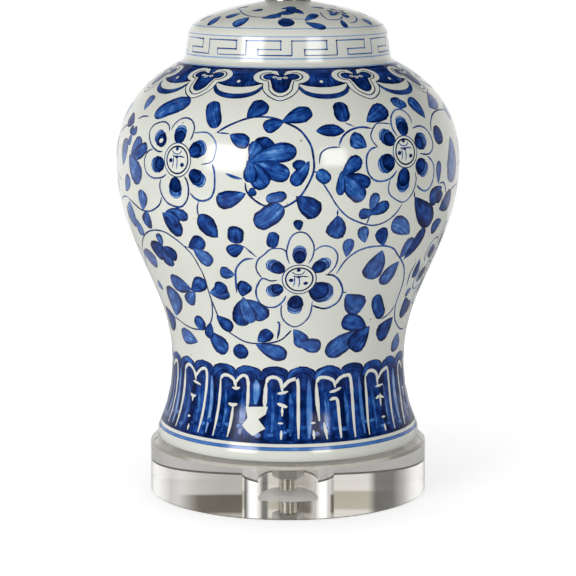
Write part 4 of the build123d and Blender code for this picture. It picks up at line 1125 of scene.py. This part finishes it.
# Bright brass: yellow, dulled a little in patches where it was handled
brass = new_material("bright brass", {"Metallic": 1.0})
patches = grain(brass, WEAR_SIZE, 3.0)
tint(brass, patches, "#c79f57", "#e3c27c")
roughen(brass, patches, 0.3, 0.16)
dress(brass, "terminal_screws", "screw_shell", "centre_contact", "switch_spindle")

# Black knob plastic: glossy, more or less so in small patches of a fine moulding texture
KNOB_TEXTURE = 0.5
knob_black = new_material("moulded black plastic", {"Base Color": linear("#1b1b1c")})
roughen(knob_black, grain(knob_black, KNOB_TEXTURE), 0.22, 0.4)
dress(knob_black, "switch_knob")

# Harp: a loop of nickel-plated wire in two sliding sleeves on the saddle, with a stud on top for the shade.
# The finial that screws down on the stud is turned and plated alike.
dress(nickel, "harp", "harp_stud", "harp_sleeve_left", "harp_sleeve_right", "finial")

# Shade frame: wire rings in the panel's two edges, and a hub on three arms, welded and powder-coated white,
# with the slight ripple of the coat.
COAT_RIPPLE = 1.4
powder_coat = new_material("white powder coat", {"Base Color": linear("#e4e3de"), "Roughness": 0.4})
emboss(powder_coat, grain(powder_coat, COAT_RIPPLE), 0.3, 0.1)
dress(powder_coat, "spider_hub", "spider_arms", "shade_top_ring", "shade_bottom_ring")

# Shade panel: off-white linen laminated on a white sheet, rolled into a cone and lapped at the back.
# Both edges are bound with folded linen, glued on.
THREAD = 0.75
SLUB_LENGTH = 45.0
SLUB_WIDTH = 1.5
SHADE_MEAN_RADIUS = 190.5
LAP_WIDTH = 12.0
CLOTH_BUMP = (0.5, 0.15)


# The cloth's own place: metres round the shade and up it
def cloth_place(material):
    parts = add_node(material, "SeparateXYZ", {"Vector": where(material)}).outputs
    turn = reckon(material, "ARCTAN2", parts["X"], parts["Y"])
    round_way = reckon(material, "MULTIPLY", turn, SHADE_MEAN_RADIUS * MM)
    return add_node(material, "CombineXYZ", {"X": round_way, "Y": parts["Z"]}).outputs["Vector"]


def threads(material, place, across, along):
    return stretched_noise(material, place, (1 / (across * MM), 1 / (along * MM), 1.0), 1.0)


def plain_weave(material, place):
    warp = threads(material, place, THREAD, SLUB_LENGTH)
    weft = threads(material, place, SLUB_LENGTH, THREAD)
    return reckon(material, "MAXIMUM", warp, weft)


# Linen: plain weave with thick and thin threads, darker where the panel laps over itself at the back, which
# is painted shade of the double cloth on a real seam, and a smooth white sheet on its inner side
linen = new_material("linen on white sheet", {"Roughness": 0.85})
linen_place = cloth_place(linen)
slubs = threads(linen, linen_place, SLUB_LENGTH, SLUB_WIDTH)
cloth = reckon(linen, "ADD", plain_weave(linen, linen_place), slubs)
linen_colour = ramp(linen, remap(linen, cloth, 0.0, 1.0, 0.8, 1.3), [(0.0, "#d3cbbb"), (1.0, "#e6e0d3")])
round_linen = add_node(linen, "SeparateXYZ", {"Vector": linen_place}).outputs["X"]
# Painted shade: a darker band over the real lap at the back, where the cloth lies doubled
lap_shade = reckon(linen, "COMPARE", round_linen, 0.0, LAP_WIDTH / 2 * MM)
lapped = blend(linen, lap_shade, linen_colour, linear("#cbc3b2"))
facing = add_node(linen, "VectorMath", {
    "operation": "DOT_PRODUCT", 0: where(linen), 1: where(linen, "Normal"),
})
inner_side = reckon(linen, "LESS_THAN", facing.outputs["Value"], 0.0)
feed(linen, blend(linen, inner_side, lapped, linear("#e9e8e3")), "Base Color")
emboss(linen, cloth, *CLOTH_BUMP)
dress(linen, "shade_panel")
shade_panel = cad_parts["shade_panel"]
shade_panel.visible_shadow = False
shade_panel.visible_diffuse = False
shade_panel.visible_glossy = False

# Folded linen edging: the same cloth in a darker tone
edging = new_material("folded linen edging", {"Roughness": 0.9})
edging_weave = plain_weave(edging, cloth_place(edging))
tint(edging, edging_weave, "#c3baa8", "#ddd6c7")
emboss(edging, edging_weave, *CLOTH_BUMP)
dress(edging, "shade_trim_top", "shade_trim_bottom")

# Stage: a plain pale floor and a white background, lit by two softboxes in front and a white room.
# The camera sees it white, with the lamp's shadow; metal and glaze see a dark room in front and a white wall
# behind.
FLOOR_RADIUS = 0.9
FLOOR_SIDES = 96
FLOOR_DROP = 0.0003
FLOOR_LIFT = (0.42, 0.7)
FLOOR_LIFT_REACH = (0.12, 0.6)
# Levels of the room for matt and for mirroring faces, from front to back
ROOM_FILL = (0.42, 0.8)
ROOM_MIRRORED = (0.03, 1.0)
# Limits of how far a direction points back, up or right, between which a part of the room turns into
# the next
ROOM_DEPTH = (0.0, 0.7)
ROOM_WALL_TOP = (0.5, 0.2)
ROOM_BEHIND = (-0.2, 0.2)
ROOM_RIGHT = (-0.1, 0.1)
# The room as the clear base shows it: how far to the right a direction points, from -1 to 1, and its level.
# Behind, a dark flag stands on the left, and a white wall on either side; in front are the two softboxes.
ROOM_ACROSS = (-1.0, 1.0)
THROUGH_BEHIND = [
    (-0.92, 1.5), (-0.78, 1.0), (-0.68, 0.46), (-0.58, 0.15), (-0.45, 0.18), (-0.4, 0.8), (-0.2, 0.78),
    (0.0, 0.56), (0.3, 0.49), (0.45, 0.56), (0.6, 0.76), (0.7, 0.64), (0.8, 1.0), (0.92, 1.5),
]
THROUGH_BEFORE = [
    (-0.9, 0.35), (-0.74, 2.0), (-0.54, 2.0), (-0.36, 0.35), (0.28, 0.35), (0.4, 1.8), (0.54, 1.8),
    (0.68, 0.35),
]
# The wall behind ends at a dark strip, brown on the right and grey on the left: how far up a direction
# points, and the tint there. Towards both sides it fades out.
STRIP_HEIGHTS = (0.24, 0.26)
STRIP_LEFT = [(0.246, "#fffdf8"), (0.2468, "#cbc8b8"), (0.2535, "#d2cfc0"), (0.2545, "#fffdf8")]
STRIP_RIGHT = [(0.2475, "#fffdf8"), (0.2483, "#85796a"), (0.255, "#8e8374"), (0.256, "#f4efe4")]
STRIP_SHOWN = [(-0.64, 0.0), (-0.42, 1.0), (0.46, 1.0), (0.64, 0.0)]
floor_form = bmesh.new()
bmesh.ops.create_circle(floor_form, cap_ends=True, segments=FLOOR_SIDES, radius=FLOOR_RADIUS)
bmesh.ops.translate(floor_form, verts=floor_form.verts, vec=(0, 0, -FLOOR_DROP))
floor = bpy.data.objects.new("floor", mesh_from(floor_form, "floor"))
bpy.context.scene.collection.objects.link(floor)
floor_paint = new_material("white studio floor", {
    "Base Color": linear("#f4f4f4"), "Roughness": 0.9, "Emission Color": linear("#ffffff"),
})
floor_away = add_node(floor_paint, "VectorMath", {"operation": "LENGTH", 0: where(floor_paint)})
floor_level = remap(floor_paint, floor_away.outputs["Value"], *FLOOR_LIFT, *FLOOR_LIFT_REACH)
floor_seen = add_node(floor_paint, "LightPath", {}).outputs["Is Camera Ray"]
feed(floor_paint, reckon(floor_paint, "MULTIPLY", floor_seen, floor_level), "Emission Strength")
floor.data.materials.append(floor_paint)

world = bpy.data.worlds.new("white room")
bpy.context.scene.world = world
world.use_nodes = True
ray = add_node(world, "LightPath", {}).outputs
direction = add_node(world, "SeparateXYZ", {"Vector": where(world, "Generated")}).outputs


def room_share(way, limits):
    return remap(world, direction[way], 0.0, 1.0, *limits)


def room_ramp(way, limits, stops):
    low, high = limits
    shares = [((place - low) / (high - low), shade) for place, shade in stops]
    return ramp(world, room_share(way, limits), shares)


room_depth = room_share("Y", ROOM_DEPTH)
room_wall = reckon(world, "MULTIPLY", room_depth, room_share("Z", ROOM_WALL_TOP))
before, behind = (room_ramp("X", ROOM_ACROSS, stops) for stops in (THROUGH_BEFORE, THROUGH_BEHIND))
room_through = blend(world, room_share("Y", ROOM_BEHIND), before, behind, "FLOAT")
room_mirrored = remap(world, room_wall, *ROOM_MIRRORED)
room_fill = remap(world, room_depth, *ROOM_FILL)
room_glossy = blend(world, ray["Is Glossy Ray"], room_fill, room_mirrored, "FLOAT")
room_level = blend(world, ray["Is Transmission Ray"], room_glossy, room_through, "FLOAT")
feed(world, reckon(world, "MAXIMUM", room_level, ray["Is Camera Ray"]), "Strength", "Background")
left_strip, right_strip = (room_ramp("Z", STRIP_HEIGHTS, stops) for stops in (STRIP_LEFT, STRIP_RIGHT))
room_strip = blend(world, room_share("X", ROOM_RIGHT), left_strip, right_strip)
strip_shown = room_ramp("X", ROOM_ACROSS, STRIP_SHOWN)
room_shown = reckon(world, "MULTIPLY", ray["Is Transmission Ray"], strip_shown)
feed(world, blend(world, room_shown, linear("#ffffff"), room_strip), "Color", "Background")

# Two softboxes, by the highlights on belly and collar; brightness in the unit where white is 1
SOFTBOX_DISTANCE = 1.6
SOFTBOX_EDGE = 0.28
SOFTBOX_MIDDLE = 0.5
AIM_HEIGHT = 0.256
SOFTBOXES = {
    "left_softbox": {"turn": -40.0, "rise": 10.0, "width": 0.98, "height": 0.84, "brightness": 9.8},
    "right_softbox": {"turn": 29.5, "rise": 11.0, "width": 0.64, "height": 0.6, "brightness": 7.1},
}
for name, box in SOFTBOXES.items():
    turn = math.radians(box["turn"])
    rise = math.radians(box["rise"])
    away = Vector((math.sin(turn) * math.cos(rise), -math.cos(turn) * math.cos(rise), math.sin(rise)))
    lamp_data = bpy.data.lights.new(name, "AREA")
    lamp_data.shape = "RECTANGLE"
    lamp_data.size = box["width"]
    lamp_data.size_y = box["height"]
    lamp_data.energy = box["brightness"] * math.pi * box["width"] * box["height"]
    lamp_data.use_nodes = True
    on_panel = add_node(lamp_data, "NewGeometry", {}).outputs["Parametric"]
    glow = []
    for along in add_node(lamp_data, "SeparateXYZ", {"Vector": on_panel}).outputs[:2]:
        inward = reckon(lamp_data, "PINGPONG", along, SOFTBOX_MIDDLE)
        glow.append(remap(lamp_data, inward, 0.0, 1.0, 0.0, SOFTBOX_EDGE, "SMOOTHSTEP"))
    feed(lamp_data, reckon(lamp_data, "MULTIPLY", *glow), "Strength", "Emission")
    lamp = bpy.data.objects.new(name, lamp_data)
    lamp.location = Vector((0, 0, AIM_HEIGHT)) + away * SOFTBOX_DISTANCE
    lamp.rotation_euler = away.to_track_quat("Z", "Y").to_euler()
    lamp.visible_transmission = False
    bpy.context.scene.collection.objects.link(lamp)

# Camera: level with the dome, 1.7 m in front, tilted down a little, so that the jar fills the square frame
CAMERA_DISTANCE = 1.7
CAMERA_HEIGHT = 0.42786
CAMERA_TILT = 9.3207
CAMERA_LENS = 146.49
CAMERA_SENSOR = 36
camera_data = bpy.data.cameras.new("camera")
camera_data.sensor_width = CAMERA_SENSOR
camera_data.lens = CAMERA_LENS
camera = bpy.data.objects.new("camera", camera_data)
camera.location = (0, -CAMERA_DISTANCE, CAMERA_HEIGHT)
camera.rotation_euler = (math.radians(90 - CAMERA_TILT), 0, 0)
bpy.context.scene.collection.objects.link(camera)
bpy.context.scene.camera = camera
bpy.context.scene.view_settings.view_transform = "Standard"
